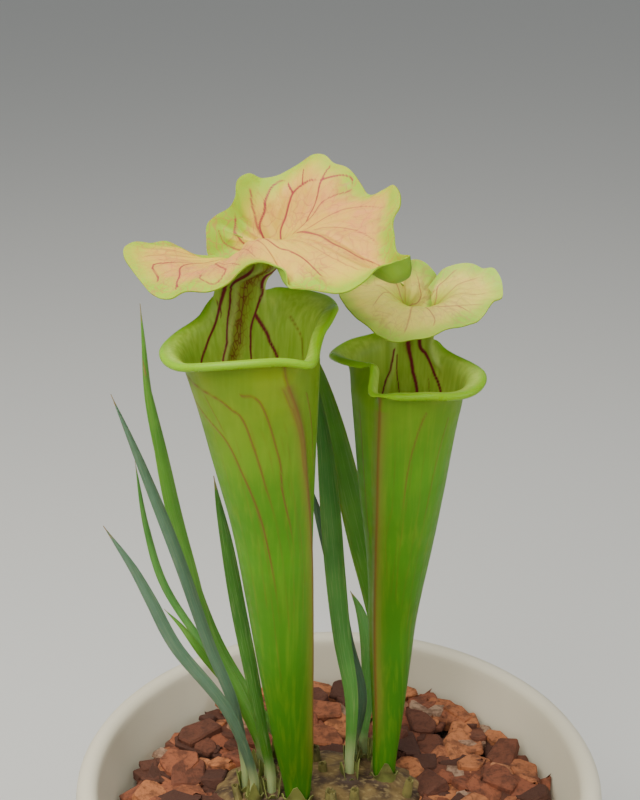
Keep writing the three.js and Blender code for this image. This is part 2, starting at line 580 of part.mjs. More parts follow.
// Leaf: a flat blade with a thicker middle, on a short straight root
function buildLeaf({ root, way, width, turn }) {
  const [rootX, rootY] = root
  const top = LEAF.straightTop
  const path = new THREE.CatmullRomCurve3([vec(rootX, rootY, top), vec(rootX, rootY, top + 6),
    ...way.map((point) => vec(...point))], false, 'centripetal')
  const shares = [-1]
  for (let n = 0; n <= LEAF.steps; n += 1) shares.push(n / LEAF.steps)
  const positions = []
  shares.forEach((place, n) => {
    const share = Math.max(0, place)
    const centre = place < 0 ? vec(rootX, rootY, STEM_FOOT) : path.getPointAt(share)
    const along = n < 2 ? vec(0, 0, 1) : path.getTangentAt(share)
    const face = planDirection(mix(turn[0], turn[1], share))
    const side = face.addScaledVector(along, -face.dot(along)).normalize()
    const normal = along.clone().cross(side)
    const swell = Math.sin(Math.PI * Math.min(1, share / 0.55) / 2) ** 1.5
    const taper = Math.max(0.1, 1 - Math.max(0, (share - 0.6) / 0.4) ** 2.2)
    const halfWidth = mix(LEAF.rootWidth, width, swell) * taper / 2
    const middle = mix(LEAF.rootThickness, LEAF.thickness, Math.min(1, share / 0.3)) / 2
    const edge = mix(LEAF.rootThickness * 0.55, LEAF.edge, Math.min(1, share / 0.3)) / 2
    const section = [[-halfWidth, -edge], [0, -middle], [halfWidth, -edge],
      [halfWidth, edge], [0, middle], [-halfWidth, edge]]
    for (const [across, up] of section) {
      const point = centre.clone().addScaledVector(side, across).addScaledVector(normal, up)
      positions.push(point.x, point.y, point.z)
    }
  })
  const index = []
  const rings = shares.length
  for (let n = 0; n < rings - 1; n += 1) {
    for (let k = 0; k < 6; k += 1) {
      const a = n * 6 + k
      const b = n * 6 + (k + 1) % 6
      index.push(a, b, b + 6, a, b + 6, a + 6)
    }
  }
  const tip = (rings - 1) * 6
  for (const [a, b, c] of [[0, 1, 5], [1, 4, 5], [1, 2, 4], [2, 3, 4]]) {
    index.push(c, b, a)
    index.push(tip + a, tip + b, tip + c)
  }
  return geometryFrom(positions, index)
}

// Crown: an oblong knobbly rhizome with old leaf stumps and a socket for each stem
function crownBody(grow) {
  const { centre, radii, columns, rows } = CROWN
  const sphere = new THREE.SphereGeometry(1, columns, rows)
  sphere.rotateX(Math.PI / 2)
  const place = sphere.attributes.position
  for (let n = 0; n < place.count; n += 1) {
    const x = place.getX(n)
    const y = place.getY(n)
    const z = place.getZ(n)
    const knobs = 1 + 0.035 * Math.sin(5 * x + 1) * Math.cos(6 * y) + 0.02 * Math.sin(11 * x * y)
    place.setXYZ(n, centre[0] + x * (radii[0] * knobs + grow), centre[1] + y * (radii[1] * knobs + grow),
      centre[2] + z * (radii[2] * knobs + grow))
  }
  return solid(sphere)
}

function buildCrown() {
  let body = crownBody(0)
  for (const [x, y, radius, height] of CROWN.stumps) {
    const stump = new THREE.CylinderGeometry(radius * 0.55, radius, height + 12, 7)
    stump.rotateX(Math.PI / 2)
    stump.rotateY(radians(x * 0.25))
    stump.translate(x, y, CROWN.centre[2] + CROWN.radii[2] + height / 2 - 9)
    body = body.add(solid(stump))
  }
  const low = STEM_FOOT - WALL / 2 - GAP
  const high = CROWN.centre[2] + 40
  for (const pitcher of [FRONT_PITCHER, BACK_PITCHER]) {
    const [x, y] = through(pitcher.axis, STEM_FOOT)
    const [, , radius] = through(pitcher.axis, CROWN.centre[2] + CROWN.radii[2])
    body = body.subtract(upright(radius + WALL / 2 + 2 * GAP, low, high, x, y, 20))
  }
  for (const { root } of LEAVES) {
    body = body.subtract(upright(LEAF.rootWidth / 2 + 2 * GAP, low, high, root[0], root[1], 10))
  }
  return geometryOf(largest(body))
}

// Pot, soil and mulch
const innerRadius = (height) => {
  const share = Math.min(1, height / (POT.height - POT.rimDepth))
  return mix(POT.footRadius, POT.shoulderRadius, share) - POT.wall
}

function buildPot() {
  const { height, footRadius, shoulderRadius, rimRadius, rimDepth, wall, floor, sides } = POT
  const band = height - rimDepth
  const profile = [
    [0, 0], [footRadius - 4, 0], [footRadius, 3], [shoulderRadius, band], [rimRadius - 3, band + 3],
    [rimRadius, band + 7], [rimRadius, height - 7], [rimRadius - 2.5, height - 2], [rimRadius - 6, height],
    [rimRadius - 10, height - 2], [rimRadius - 12, height - 7], [innerRadius(band), band],
    [innerRadius(floor), floor], [0, floor],
  ]
  let body = solid(turned(profile, sides))
  for (let n = 0; n < POT.drains; n += 1) {
    const place = planDirection(45 + n * 360 / POT.drains).multiplyScalar(POT.drainCircle)
    body = body.subtract(upright(POT.drainRadius, -5, floor + 5, place.x, place.y, 16))
  }
  return geometryOf(body)
}

function buildSoil() {
  const low = POT.floor + GAP
  const profile = [[0, low], [innerRadius(low) - GAP * 2, low],
    [innerRadius(SOIL_TOP) - GAP * 2, SOIL_TOP - 2], [innerRadius(SOIL_TOP) - 8, SOIL_TOP], [0, SOIL_TOP]]
  return geometryOf(solid(turned(profile, POT.sides)).subtract(crownBody(2 * GAP)))
}

function buildMulch() {
  const outer = innerRadius(MULCH_TOP) - 2 * GAP
  const low = SOIL_TOP + GAP
  let body = solid(turned([[0, low], [outer, low], [outer, MULCH_TOP], [0, MULCH_TOP]], POT.sides))
  const random = seededRandom(CHIPS.seed)
  const golden = 137.508
  for (let n = 0; n < CHIPS.count; n += 1) {
    const ring = Math.sqrt((n + 0.5) / CHIPS.count)
    const place = planDirection(n * golden).multiplyScalar(ring * (outer - 8))
    const size = 0.6 + 0.7 * random()
    const chip = new THREE.BoxGeometry(CHIPS.length * size, CHIPS.width * size * mix(0.7, 1.2, random()),
      CHIPS.thickness * mix(0.7, 1.3, random()))
    const corners = chip.attributes.position
    const skew = mix(-0.25, 0.25, random())
    for (let k = 0; k < corners.count; k += 1) {
      corners.setX(k, corners.getX(k) * (1 + skew * Math.sign(corners.getY(k))))
    }
    chip.rotateX(mix(-0.3, 0.3, random()))
    chip.rotateY(mix(-0.22, 0.22, random()))
    chip.rotateZ(random() * Math.PI)
    chip.translate(place.x, place.y, MULCH_TOP + mix(0, 2, random()))
    body = body.add(solid(chip))
  }
  const inside = upright(outer, low, MULCH_TOP + 30, 0, 0, POT.sides)
  return geometryOf(largest(body.intersect(inside).subtract(crownBody(2 * GAP))))
}

// The whole plant in its pot
const plant = new THREE.Group()

function place(name, geometry, material) {
  const mesh = new THREE.Mesh(geometry, material)
  mesh.name = name
  plant.add(mesh)
}

place('pot', buildPot(), MATERIALS.cream)
place('potting_mix', buildSoil(), MATERIALS.soil)
place('bark_mulch', buildMulch(), MATERIALS.bark)
place('crown', buildCrown(), MATERIALS.crown)
for (const pitcher of [FRONT_PITCHER, BACK_PITCHER]) {
  place(pitcher.name, buildPitcher(pitcher), MATERIALS.pitcher)
}
for (const leaf of LEAVES) place(leaf.name, buildLeaf(leaf), MATERIALS[leaf.colour])

export default plant
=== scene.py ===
"""A potted yellow pitcher plant: two tall pitchers with wavy, veined hoods, a fan of
sword leaves, a knobbly rootstock, bark mulch over potting mix, and a plain round pot.

Sizes are in millimetres, +Z up, with the origin in the middle of the pot's underside.
The mouths of the pitchers face -Y. Bearings are degrees anticlockwise from +X.
"""

from __future__ import annotations

import logging
import math
import random
from dataclasses import dataclass, field
from enum import Enum
from typing import Any, Callable, Sequence

import bpy
import numpy as np
from bpy.types import Material, Mesh, Node, NodeSocket as Socket, Object
from mathutils import Matrix, Vector

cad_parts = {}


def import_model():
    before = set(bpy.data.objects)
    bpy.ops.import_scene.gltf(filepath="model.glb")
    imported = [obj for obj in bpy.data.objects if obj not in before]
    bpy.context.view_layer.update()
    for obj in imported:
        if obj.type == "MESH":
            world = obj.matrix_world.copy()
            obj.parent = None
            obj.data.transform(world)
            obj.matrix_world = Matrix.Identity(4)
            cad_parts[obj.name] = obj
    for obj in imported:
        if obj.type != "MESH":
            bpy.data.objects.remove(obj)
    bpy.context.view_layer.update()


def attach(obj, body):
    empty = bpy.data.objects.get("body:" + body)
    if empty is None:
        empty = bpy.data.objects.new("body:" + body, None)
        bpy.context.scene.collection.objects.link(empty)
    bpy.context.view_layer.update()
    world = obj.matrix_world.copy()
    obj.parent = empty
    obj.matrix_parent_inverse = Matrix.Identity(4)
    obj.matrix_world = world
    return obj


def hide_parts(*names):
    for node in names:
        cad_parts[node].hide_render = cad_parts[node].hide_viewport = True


LOG = logging.getLogger("pitcher_plant")
MM = 0.001
STEM_FOOT = 160.0
SOIL_TOP = 157.0
MULCH_TOP = 165.0
TRACE_STEPS = 14
SOFT_LEVELS = 8
GOLDEN_ANGLE = 137.508
Stations = Sequence[Sequence[float]]
Point = tuple[float, float, float]
Array = np.ndarray
Numbers = float | Sequence[float] | Array
Input = Socket | float | tuple[float, ...]


def shade(code: int) -> tuple[float, float, float, float]:
    """Turns a screen colour such as 0xD9D0B8 into the linear colour that shaders use.

    Args:
        code: Red, green and blue, two hex digits each.

    Returns:
        Linear red, green, blue and an alpha of 1.
    """
    channels = [(code >> shift & 255) / 255 for shift in (16, 8, 0)]
    linear = [c / 12.92 if c <= 0.04045 else ((c + 0.055) / 1.055) ** 2.4 for c in channels]
    return (linear[0], linear[1], linear[2], 1.0)


class Side(Enum):
    """The two faces of a pitcher's wall."""

    OUTER = 0
    INNER = 1


class Graph:
    """A material's nodes, added by short calls that return sockets."""

    def __init__(self, name: str) -> None:
        """Starts a material with one shader and no other nodes."""
        self.material = bpy.data.materials.new(name)
        self.material.use_nodes = True
        self.tree = self.material.node_tree
        self.shader = self.tree.nodes["Principled BSDF"]
        self.place = self.tree.nodes.new("ShaderNodeTexCoord").outputs["Object"]

    def node(self, kind: str, inputs: dict[str | int, Input], **settings: Any) -> Node:
        """Adds a node.

        Args:
            kind: The node's type.
            inputs: A socket to link or a value to set, by the input's name or number.
            **settings: The node's own properties.

        Returns:
            The new node.
        """
        made = self.tree.nodes.new(kind)
        for key, value in settings.items():
            setattr(made, key, value)
        for key, value in inputs.items():
            self.feed(made.inputs[key], value)
        return made

    def feed(self, socket: Socket, value: Input) -> None:
        """Links a socket to another one, or sets its value."""
        if isinstance(value, Socket):
            self.tree.links.new(value, socket)
        else:
            socket.default_value = value

    def number(self, name: str) -> Socket:
        """The number that the piece's points carry under this name."""
        return self.node("ShaderNodeAttribute", {}, attribute_name=name).outputs["Fac"]

    def height(self) -> Socket:
        """Metres above the pot's underside."""
        return self.node("ShaderNodeSeparateXYZ", {0: self.place}).outputs[2]

    def stretched(self, x: float, y: float, z: float) -> Socket:
        """Object coordinates stretched along each axis."""
        return self.node("ShaderNodeMapping", {"Vector": self.place, "Scale": (x, y, z)}).outputs[0]

    def noise(self, scale: float, detail: float = 3.0, vector: Socket | None = None,
              rough: float = 0.5) -> Socket:
        """Smooth noise between 0 and 1, in cells per metre."""
        inputs = {"Vector": vector or self.place, "Scale": scale, "Detail": detail, "Roughness": rough}
        return self.node("ShaderNodeTexNoise", inputs).outputs[0]

    def cells(self, scale: float, feature: str = "F1", vector: Socket | None = None) -> Socket:
        """Distance within a pattern of irregular cells."""
        inputs = {"Vector": vector or self.place, "Scale": scale}
        return self.node("ShaderNodeTexVoronoi", inputs, feature=feature).outputs["Distance"]

    def span(self, value: Input, low: float, high: float, start: float = 0.0, end: float = 1.0) -> Socket:
        """Smoothly maps a value from low..high to start..end."""
        inputs = {0: value, 1: low, 2: high, 3: start, 4: end}
        return self.node("ShaderNodeMapRange", inputs, interpolation_type="SMOOTHSTEP").outputs[0]

    def sums(self, operation: str, a: Input, b: Input) -> Socket:
        """One step of arithmetic on two values, kept between 0 and 1."""
        return self.node("ShaderNodeMath", {0: a, 1: b}, operation=operation, use_clamp=True).outputs[0]

    def times(self, a: Input, b: Input) -> Socket:
        """Two values multiplied, kept between 0 and 1."""
        return self.sums("MULTIPLY", a, b)

    def mix(self, factor: Input, a: Input, b: Input) -> Socket:
        """Mixes two colours."""
        return self.node("ShaderNodeMix", {0: factor, 6: a, 7: b}, data_type="RGBA").outputs[2]

    def layers(self, base: int, *coats: tuple[Input, int]) -> Socket:
        """Lays coats of colour on each other.

        Args:
            base: The lowest colour's code.
            *coats: How much of each coat shows, and its colour's code.

        Returns:
            The colour.
        """
        colour = shade(base)
        for share, code in coats:
            colour = self.mix(share, colour, shade(code))
        return colour

    def bump(self, height: Input, distance: float, strength: float = 1.0,
             below: Socket | None = None) -> Socket:
        """A raised pattern, over another one if below is given. The distance is in millimetres."""
        inputs = {"Height": height, "Distance": distance * MM, "Strength": strength}
        if below is not None:
            inputs["Normal"] = below
        return self.node("ShaderNodeBump", inputs).outputs[0]

    def finish(self, colour: Input, roughness: Input, normal: Socket | None = None,
               **constants: float) -> Material:
        """Joins everything to the shader.

        Args:
            colour: A colour or a socket.
            roughness: A number or a socket.
            normal: The bump's socket, if any.
            **constants: Shader inputs that are the same all over, with _ for spaces."""
        self.feed(self.shader.inputs["Base Color"], colour)
        self.feed(self.shader.inputs["Roughness"], roughness)
        if normal is not None:
            self.feed(self.shader.inputs["Normal"], normal)
        for name, value in constants.items():
            self.shader.inputs[name.replace("_", " ")].default_value = value
        return self.material


@dataclass(frozen=True)
class Marks:
    """The patterns that a pitcher's colours share: broad, fine and drawn-out noise, and veins."""

    broad: Socket
    fine: Socket
    streaks: Socket
    vein: Socket


@dataclass(frozen=True)
class PitcherSkin:
    """Waxy skin of a pitcher: green tube, dark-veined throat, and a flushed hood.

    The methods for its four parts take the graph and the marks, and return a colour.
    """

    name: str = "pitcher_skin"
    tube_top: int = 0x849A18
    tube_mid: int = 0x549110
    tube_foot: int = 0x36750C
    tube_pale: int = 0x86A022
    tube_deep: int = 0x467A0C
    keel: int = 0x7E7A2C
    tube_vein: int = 0x7C4426
    throat: int = 0xB2CE4C
    throat_deep: int = 0x94B834
    throat_light: int = 0xC0D464
    throat_vein: int = 0x7C2029
    # Painted highlight: a pale colour laid along the throat's raised folds, where light catches them.
    crease: int = 0xC8D878
    stain: int = 0x7A4A1C
    lip: int = 0x80AE12
    hood_heart: int = 0xE4C440
    hood_blush: int = 0xDE9058
    hood_soft: int = 0xD6BC38
    hood_margin: int = 0x9ABC22
    hood_vein: int = 0x9E3842
    hood_net: int = 0xBE6E50
    hood_back: int = 0x70961A
    hood_back_pale: int = 0x8CAA30
    hood_back_vein: int = 0x9C6A3A
    funnel: int = 0xACBE2E

    def tube(self, g: Graph, marks: Marks) -> Socket:
        """The outside of the tube, greener towards its foot."""
        height = g.height()
        return g.layers(
            self.tube_foot,
            (g.span(height, 0.2, 0.36), self.tube_mid),
            (g.span(height, 0.35, 0.44), self.tube_top),
            (g.span(marks.broad, 0.3, 0.7, 0, 0.45), self.tube_deep),
            (g.span(marks.streaks, 0.42, 0.75, 0, 0.3), self.tube_pale),
            (g.number("keel"), self.keel),
            (g.times(marks.vein, 0.85), self.tube_vein),
        )

    def inside(self, g: Graph, marks: Marks) -> Socket:
        """The inside of the throat and neck, with a painted highlight along its raised folds and a netted
        stain.
        """
        net = g.cells(520, "DISTANCE_TO_EDGE", g.stretched(1, 1, 0.45))
        return g.layers(
            self.throat_deep,
            (g.span(marks.streaks, 0.3, 0.75), self.throat),
            (g.span(marks.broad, 0.35, 0.7, 0, 0.3), self.throat_light),
            (g.times(g.number("stain"), g.span(net, 0.02, 0.14, 1, 0.62)), self.stain),
            # Painted highlight along the raised folds of the throat and neck.
            (g.times(g.number("fold_highlight"), 0.45), self.crease),
            (g.span(marks.vein, 0.1, 0.8), self.throat_vein),
        )

    def top(self, g: Graph, marks: Marks) -> Socket:
        """The upper side of the hood, flushed pink with a network of veins."""
        broad = marks.broad
        edge = g.sums("ADD", g.number("rim"), g.span(broad, 0.4, 0.75, -0.25, 0.2))
        drift = g.node("ShaderNodeTexNoise", {"Vector": g.place, "Scale": 70.0, "Detail": 2.0}).outputs[1]
        net = g.cells(150, "DISTANCE_TO_EDGE", g.mix(0.02, g.place, drift))
        net = g.times(g.span(net, 0.01, 0.09, 1, 0), g.span(broad, 0.35, 0.62, 0.05, 0.5))
        return g.layers(
            self.hood_heart,
            (g.times(g.number("blush"), g.span(broad, 0.25, 0.65, 0.5, 1.0)), self.hood_blush),
            (g.span(marks.fine, 0.35, 0.75, 0, 0.4), self.hood_soft),
            (g.span(edge, 0.2, 0.95), self.hood_margin),
            (g.number("funnel"), self.funnel),
            (g.times(net, g.sums("SUBTRACT", 1.0, g.number("funnel"))), self.hood_net),
            (g.span(marks.vein, 0.08, 0.9), self.hood_vein),
        )

    def under(self, g: Graph, marks: Marks) -> Socket:
        """The underside of the hood."""
        return g.layers(
            self.hood_back,
            (g.span(marks.broad, 0.3, 0.7, 0, 0.6), self.hood_back_pale),
            (g.times(marks.vein, 0.5), self.hood_back_vein),
        )

    def material(self) -> Material:
        """Builds the skin from the numbers that the pitcher's points carry."""
        g = Graph(self.name)
        inner = g.number("inner")
        hood = g.number("hood")
        vein = g.number("vein")
        fine = g.noise(190, 5)
        broad = g.noise(38, 4)
        streaks = g.noise(1.0, 4, g.stretched(420, 420, 9))
        marks = Marks(broad, fine, streaks, vein)
        outside = g.mix(hood, self.tube(g, marks), self.top(g, marks))
        inside = g.mix(hood, self.inside(g, marks), self.under(g, marks))
        colour = g.mix(inner, outside, inside)
        colour = g.mix(g.number("lip"), colour, shade(self.lip))
        relief = g.sums("ADD", g.times(vein, 0.5), g.times(fine, 0.35))
        normal = g.bump(relief, 0.4, 0.9, g.bump(streaks, 0.2, 0.5))
        gloss = g.times(g.number("lip"), 0.16)
        rough = g.sums("SUBTRACT", g.span(fine, 0.3, 0.7, 0.42, 0.54), gloss)
        return g.finish(colour, rough, normal, Subsurface_Weight=0.16, Subsurface_Scale=0.003,
                        Specular_IOR_Level=0.18)


@dataclass(frozen=True)
class LeafSkin:
    """A sword leaf's skin, with parallel veins, a paler base and a drier tip."""

    name: str
    blade: int
    light: int
    base: int = 0xA9B97A
    tip: int = 0x9A7A44
    line: int = 0xC2C98A
    wax: int = 0xC4D6C8
    bloom: float = 0.0
    stripe_count: float = 26.0

    def material(self) -> Material:
        """Builds the skin from the leaf's own across and along numbers."""
        g = Graph(self.name)
        across = g.number("across")
        along = g.number("along")
        broad = g.noise(40, 3)
        fine = g.noise(260, 4)
        flat = g.node("ShaderNodeCombineXYZ", {0: across, 1: along}).outputs[0]
        lines = g.node("ShaderNodeTexNoise", {"Vector": flat, "Scale": 9.0, "Detail": 4.0},
                       noise_dimensions="2D").outputs[0]
        rows = g.node("ShaderNodeMath", {0: across, 1: self.stripe_count}, operation="MULTIPLY").outputs[0]
        stripes = g.node("ShaderNodeTexNoise", {"W": rows, "Scale": 1.0, "Detail": 2.0},
                         noise_dimensions="1D").outputs[0]
        ends = g.sums("ADD", along, g.span(fine, 0.3, 0.7, -0.015, 0.015))
        colour = g.layers(
            self.blade,
            (g.span(broad, 0.3, 0.7, 0.1, 0.9), self.light),
            (g.span(stripes, 0.35, 0.7, 0, 0.4), self.light),
            (g.span(lines, 0.5, 0.75, 0, 0.18), self.line),
            (g.span(fine, 0.2, 0.8, 0.4 * self.bloom, 0.7 * self.bloom), self.wax),
            (g.span(along, 0.12, 0.02), self.base),
            (g.span(ends, 0.955, 0.99, 0, 0.85), self.tip),
        )
        normal = g.bump(stripes, 0.25, 0.8, g.bump(fine, 0.12, 0.5))
        return g.finish(colour, g.span(fine, 0.3, 0.7, 0.38, 0.55), normal,
                        Subsurface_Weight=0.12, Subsurface_Scale=0.003)


@dataclass(frozen=True)
class BarkFinish:
    """Red-brown bark pieces, some greyed, each with its own tone."""

    dark: int = 0x4A2A1C
    mid: int = 0x8A4C30
    warm: int = 0xB56F42
    grey: int = 0x9B8A74
    pit: int = 0x2A1810

    def material(self) -> Material:
        """Builds bark with flaky layers and pits."""
        g = Graph("bark")
        tone = g.number("tone")
        flakes = g.noise(130, 6, rough=0.65)
        pits = g.noise(520, 4)
        layers = g.noise(1.0, 5, g.stretched(160, 160, 900))
        colour = g.layers(
            self.dark,
            (g.span(tone, 0.1, 0.55), self.mid),
            (g.span(tone, 0.5, 0.85), self.warm),
            (g.span(tone, 0.9, 0.97, 0, 0.7), self.grey),
            (g.span(flakes, 0.42, 0.62, 0, 0.65), self.dark),
            (g.span(pits, 0.5, 0.75, 0, 0.3), self.pit),
        )
        height = g.sums("ADD", g.times(flakes, 0.6), g.times(layers, 0.4))
        normal = g.bump(height, 1.6, 0.9, g.bump(pits, 0.4, 0.6))
        return g.finish(colour, g.span(flakes, 0.3, 0.7, 0.8, 0.95), normal)


@dataclass(frozen=True)
class MixFinish:
    """Damp dark potting mix with pale grit."""

    dark: int = 0x20150F
    light: int = 0x4A3526
    grit: int = 0xA39A88

    def material(self) -> Material:
        """Builds crumbly dark soil."""
        g = Graph("potting_mix")
        crumbs = g.cells(420)
        lumps = g.noise(180, 5)
        grit = g.span(g.cells(260), 0.16, 0.1, 0, 0.5)
        colour = g.layers(self.dark, (g.span(lumps, 0.3, 0.7), self.light),
            (g.times(grit, g.span(lumps, 0.5, 0.6)), self.grit))
        return g.finish(colour, g.span(lumps, 0.3, 0.7, 0.75, 0.95), g.bump(crumbs, 1.5, 0.9))


@dataclass(frozen=True)
class RootstockFinish:
    """Brown rootstock with pale fibres and greenish young parts."""

    dark: int = 0x3E2A18
    mid: int = 0x7A6238
    fibre: int = 0xA08A58
    green: int = 0x7F8F3E

    def material(self) -> Material:
        """Builds rough brown rind."""
        g = Graph("rootstock")
        lumps = g.noise(90, 5)
        fibres = g.noise(1.0, 5, g.stretched(260, 500, 120))
        young = g.times(g.number("young"), g.span(lumps, 0.3, 0.6, 0.4, 0.9))
        colour = g.layers(self.dark, (g.span(lumps, 0.35, 0.65), self.mid),
            (g.span(fibres, 0.5, 0.7, 0, 0.5), self.fibre), (young, self.green))
        normal = g.bump(fibres, 0.8, 0.9, g.bump(lumps, 1.0, 0.6))
        return g.finish(colour, g.span(lumps, 0.3, 0.7, 0.7, 0.9), normal)


@dataclass(frozen=True)
class PotFinish:
    """Matt cream plastic, faintly mottled, dusty at the foot."""

    cream: int = 0xD9D0B8
    patch: int = 0xCBBF9F
    dust: int = 0xB3A283

    def material(self) -> Material:
        """Builds moulded plastic with a fine grain."""
        g = Graph("cream_plastic")
        grain = g.noise(1400, 2)
        mottle = g.noise(18, 4)
        splash = g.times(g.span(g.height(), 0.06, 0.0), g.span(mottle, 0.35, 0.65, 0.2, 0.9))
        colour = g.layers(self.cream, (g.span(mottle, 0.3, 0.7, 0, 0.25), self.patch), (splash, self.dust))
        return g.finish(colour, g.span(mottle, 0.3, 0.7, 0.55, 0.7), g.bump(grain, 0.08, 0.5))


def bearing_vector(bearing: Numbers) -> Array:
    """Level unit vectors at bearings in degrees."""
    angle = np.radians(np.asarray(bearing, float))
    return np.stack([np.cos(angle), np.sin(angle), np.zeros_like(angle)], -1)


def unit(vectors: Array) -> Array:
    """Vectors scaled to a length of 1."""
    return vectors / np.linalg.norm(vectors, axis=-1, keepdims=True)


def eased(across: Array, power: float) -> Array:
    """Numbers from -1 to 1 raised to a power, with their signs kept."""
    return np.sign(across) * np.abs(across) ** power


def between(places: Array, knots: Array, points: Array) -> Array:
    """Points at some places of a broken line, whose corners are at the knots."""
    return np.stack([np.interp(places, knots, points[:, k]) for k in range(3)], -1)


def hermite(a: Numbers, b: Numbers, slope_a: Numbers, slope_b: Numbers, t: Numbers) -> Numbers:
    """A smooth step from a to b with the given slopes, t of the way along."""
    t2 = t * t
    t3 = t2 * t
    places = a * (2 * t3 - 3 * t2 + 1) + b * (3 * t2 - 2 * t3)
    return places + slope_a * (t3 - 2 * t2 + t) + slope_b * (t3 - t2)


def bezier(a: Numbers, b: Numbers, c: Numbers, d: Numbers, t: Numbers) -> Numbers:
    """A point on the curve from a to d with handles b and c."""
    s = 1 - t
    return a * s ** 3 + 3 * b * s * s * t + 3 * c * s * t * t + d * t ** 3


class Track:
    """A smooth curve through stations of [place, value, value, ...]."""

    def __init__(self, stations: Stations, closed: bool = False) -> None:
        """Works out the slopes at the stations.

        Args:
            stations: The stations, in the order of their places unless it is closed.
            closed: Whether it repeats every 360.
        """
        table = np.array(stations, float)
        self.closed = closed
        if closed:
            table = table[np.argsort(table[:, 0])]
            turn = np.zeros(table.shape[1])
            turn[0] = 360
            self.start = table[0, 0]
            table = np.concatenate([table[-3:] - turn, table, table[:3] + turn])
        self.place = table[:, 0]
        self.value = table[:, 1:]
        gap = np.diff(self.place)[:, None]
        step = np.diff(self.value, axis=0) / gap
        inner = (step[:-1] * gap[1:] + step[1:] * gap[:-1]) / (gap[1:] + gap[:-1])
        self.slope = np.concatenate([step[:1], inner, step[-1:]])

    def at(self, place: Numbers) -> Array:
        """The values somewhere along the track.

        Args:
            place: One place or an array of them.

        Returns:
            The values, one row for each place.
        """
        x = np.asarray(place, float)
        if self.closed:
            x = (x - self.start) % 360 + self.start
        x = np.clip(x, self.place[0], self.place[-1])
        i = np.clip(np.searchsorted(self.place, x, side="right") - 1, 0, len(self.place) - 2)
        j = i + 1
        span = (self.place[j] - self.place[i])[..., None]
        share = (x - self.place[i])[..., None] / span
        return hermite(self.value[i], self.value[j], self.slope[i] * span, self.slope[j] * span, share)


@dataclass(frozen=True)
class Vein:
    """A vein through points on the surface, with its half width and how strongly it shows.

    On a hood a point is (t, r): t runs from -1 to 1 across it, and r from the neck to the
    margin. On a tube or a neck it is (bearing, height), as tube_point takes them.
    """

    points: Stations
    width: float = 0.55
    depth: float = 1.0


@dataclass(frozen=True)
class Fold:
    """A raised crease in a throat, a neck or a hood: its line, half width and height."""

    points: Stations
    width: float
    height: float
    depth: float = 1.0


@dataclass(frozen=True)
class Patch:
    """A patch of pink or green on a hood, round a point of it."""

    t: float
    r: float
    wide: float
    deep: float
    strength: float


def snapped(places: Array, lines: Sequence[Array], level: float) -> Array:
    """Moves a row's nearest place onto each line that crosses the row, so lines stay crisp.

    Args:
        places: The row's places, rising or falling.
        lines: Points of the lines, each a place and a level.
        level: The row's own level.

    Returns:
        The places, in the same order.
    """
    moved = places.copy()
    reach = 0.5 * np.median(np.abs(np.diff(places)))
    for line in lines:
        before = line[:-1]
        step = line[1:] - before
        past = level - before[:, 1]
        for n in np.nonzero((past * (past - step[:, 1]) <= 0) & (np.abs(step[:, 1]) > 1e-9))[0]:
            at = before[n, 0] + step[n, 0] * past[n] / step[n, 1]
            nearest = int(np.argmin(np.abs(places - at)))
            if 0 < nearest < len(places) - 1 and abs(places[nearest] - at) <= reach:
                moved[nearest] = at
    return moved


def traced(line: Vein | Fold) -> Array:
    """Follows a vein or a fold closely.

    Args:
        line: The vein or fold.

    Returns:
        Points evenly spread on a smooth curve through its own, in the same coordinates.
    """
    table = np.array(line.points, float)
    count = TRACE_STEPS * len(table)
    if len(table) == 2:
        return table[0] + (table[1] - table[0]) * np.linspace(0, 1, count)[:, None]
    track = Track(np.column_stack([np.arange(len(table)), table]))
    return track.at(np.linspace(0, len(table) - 1, count))


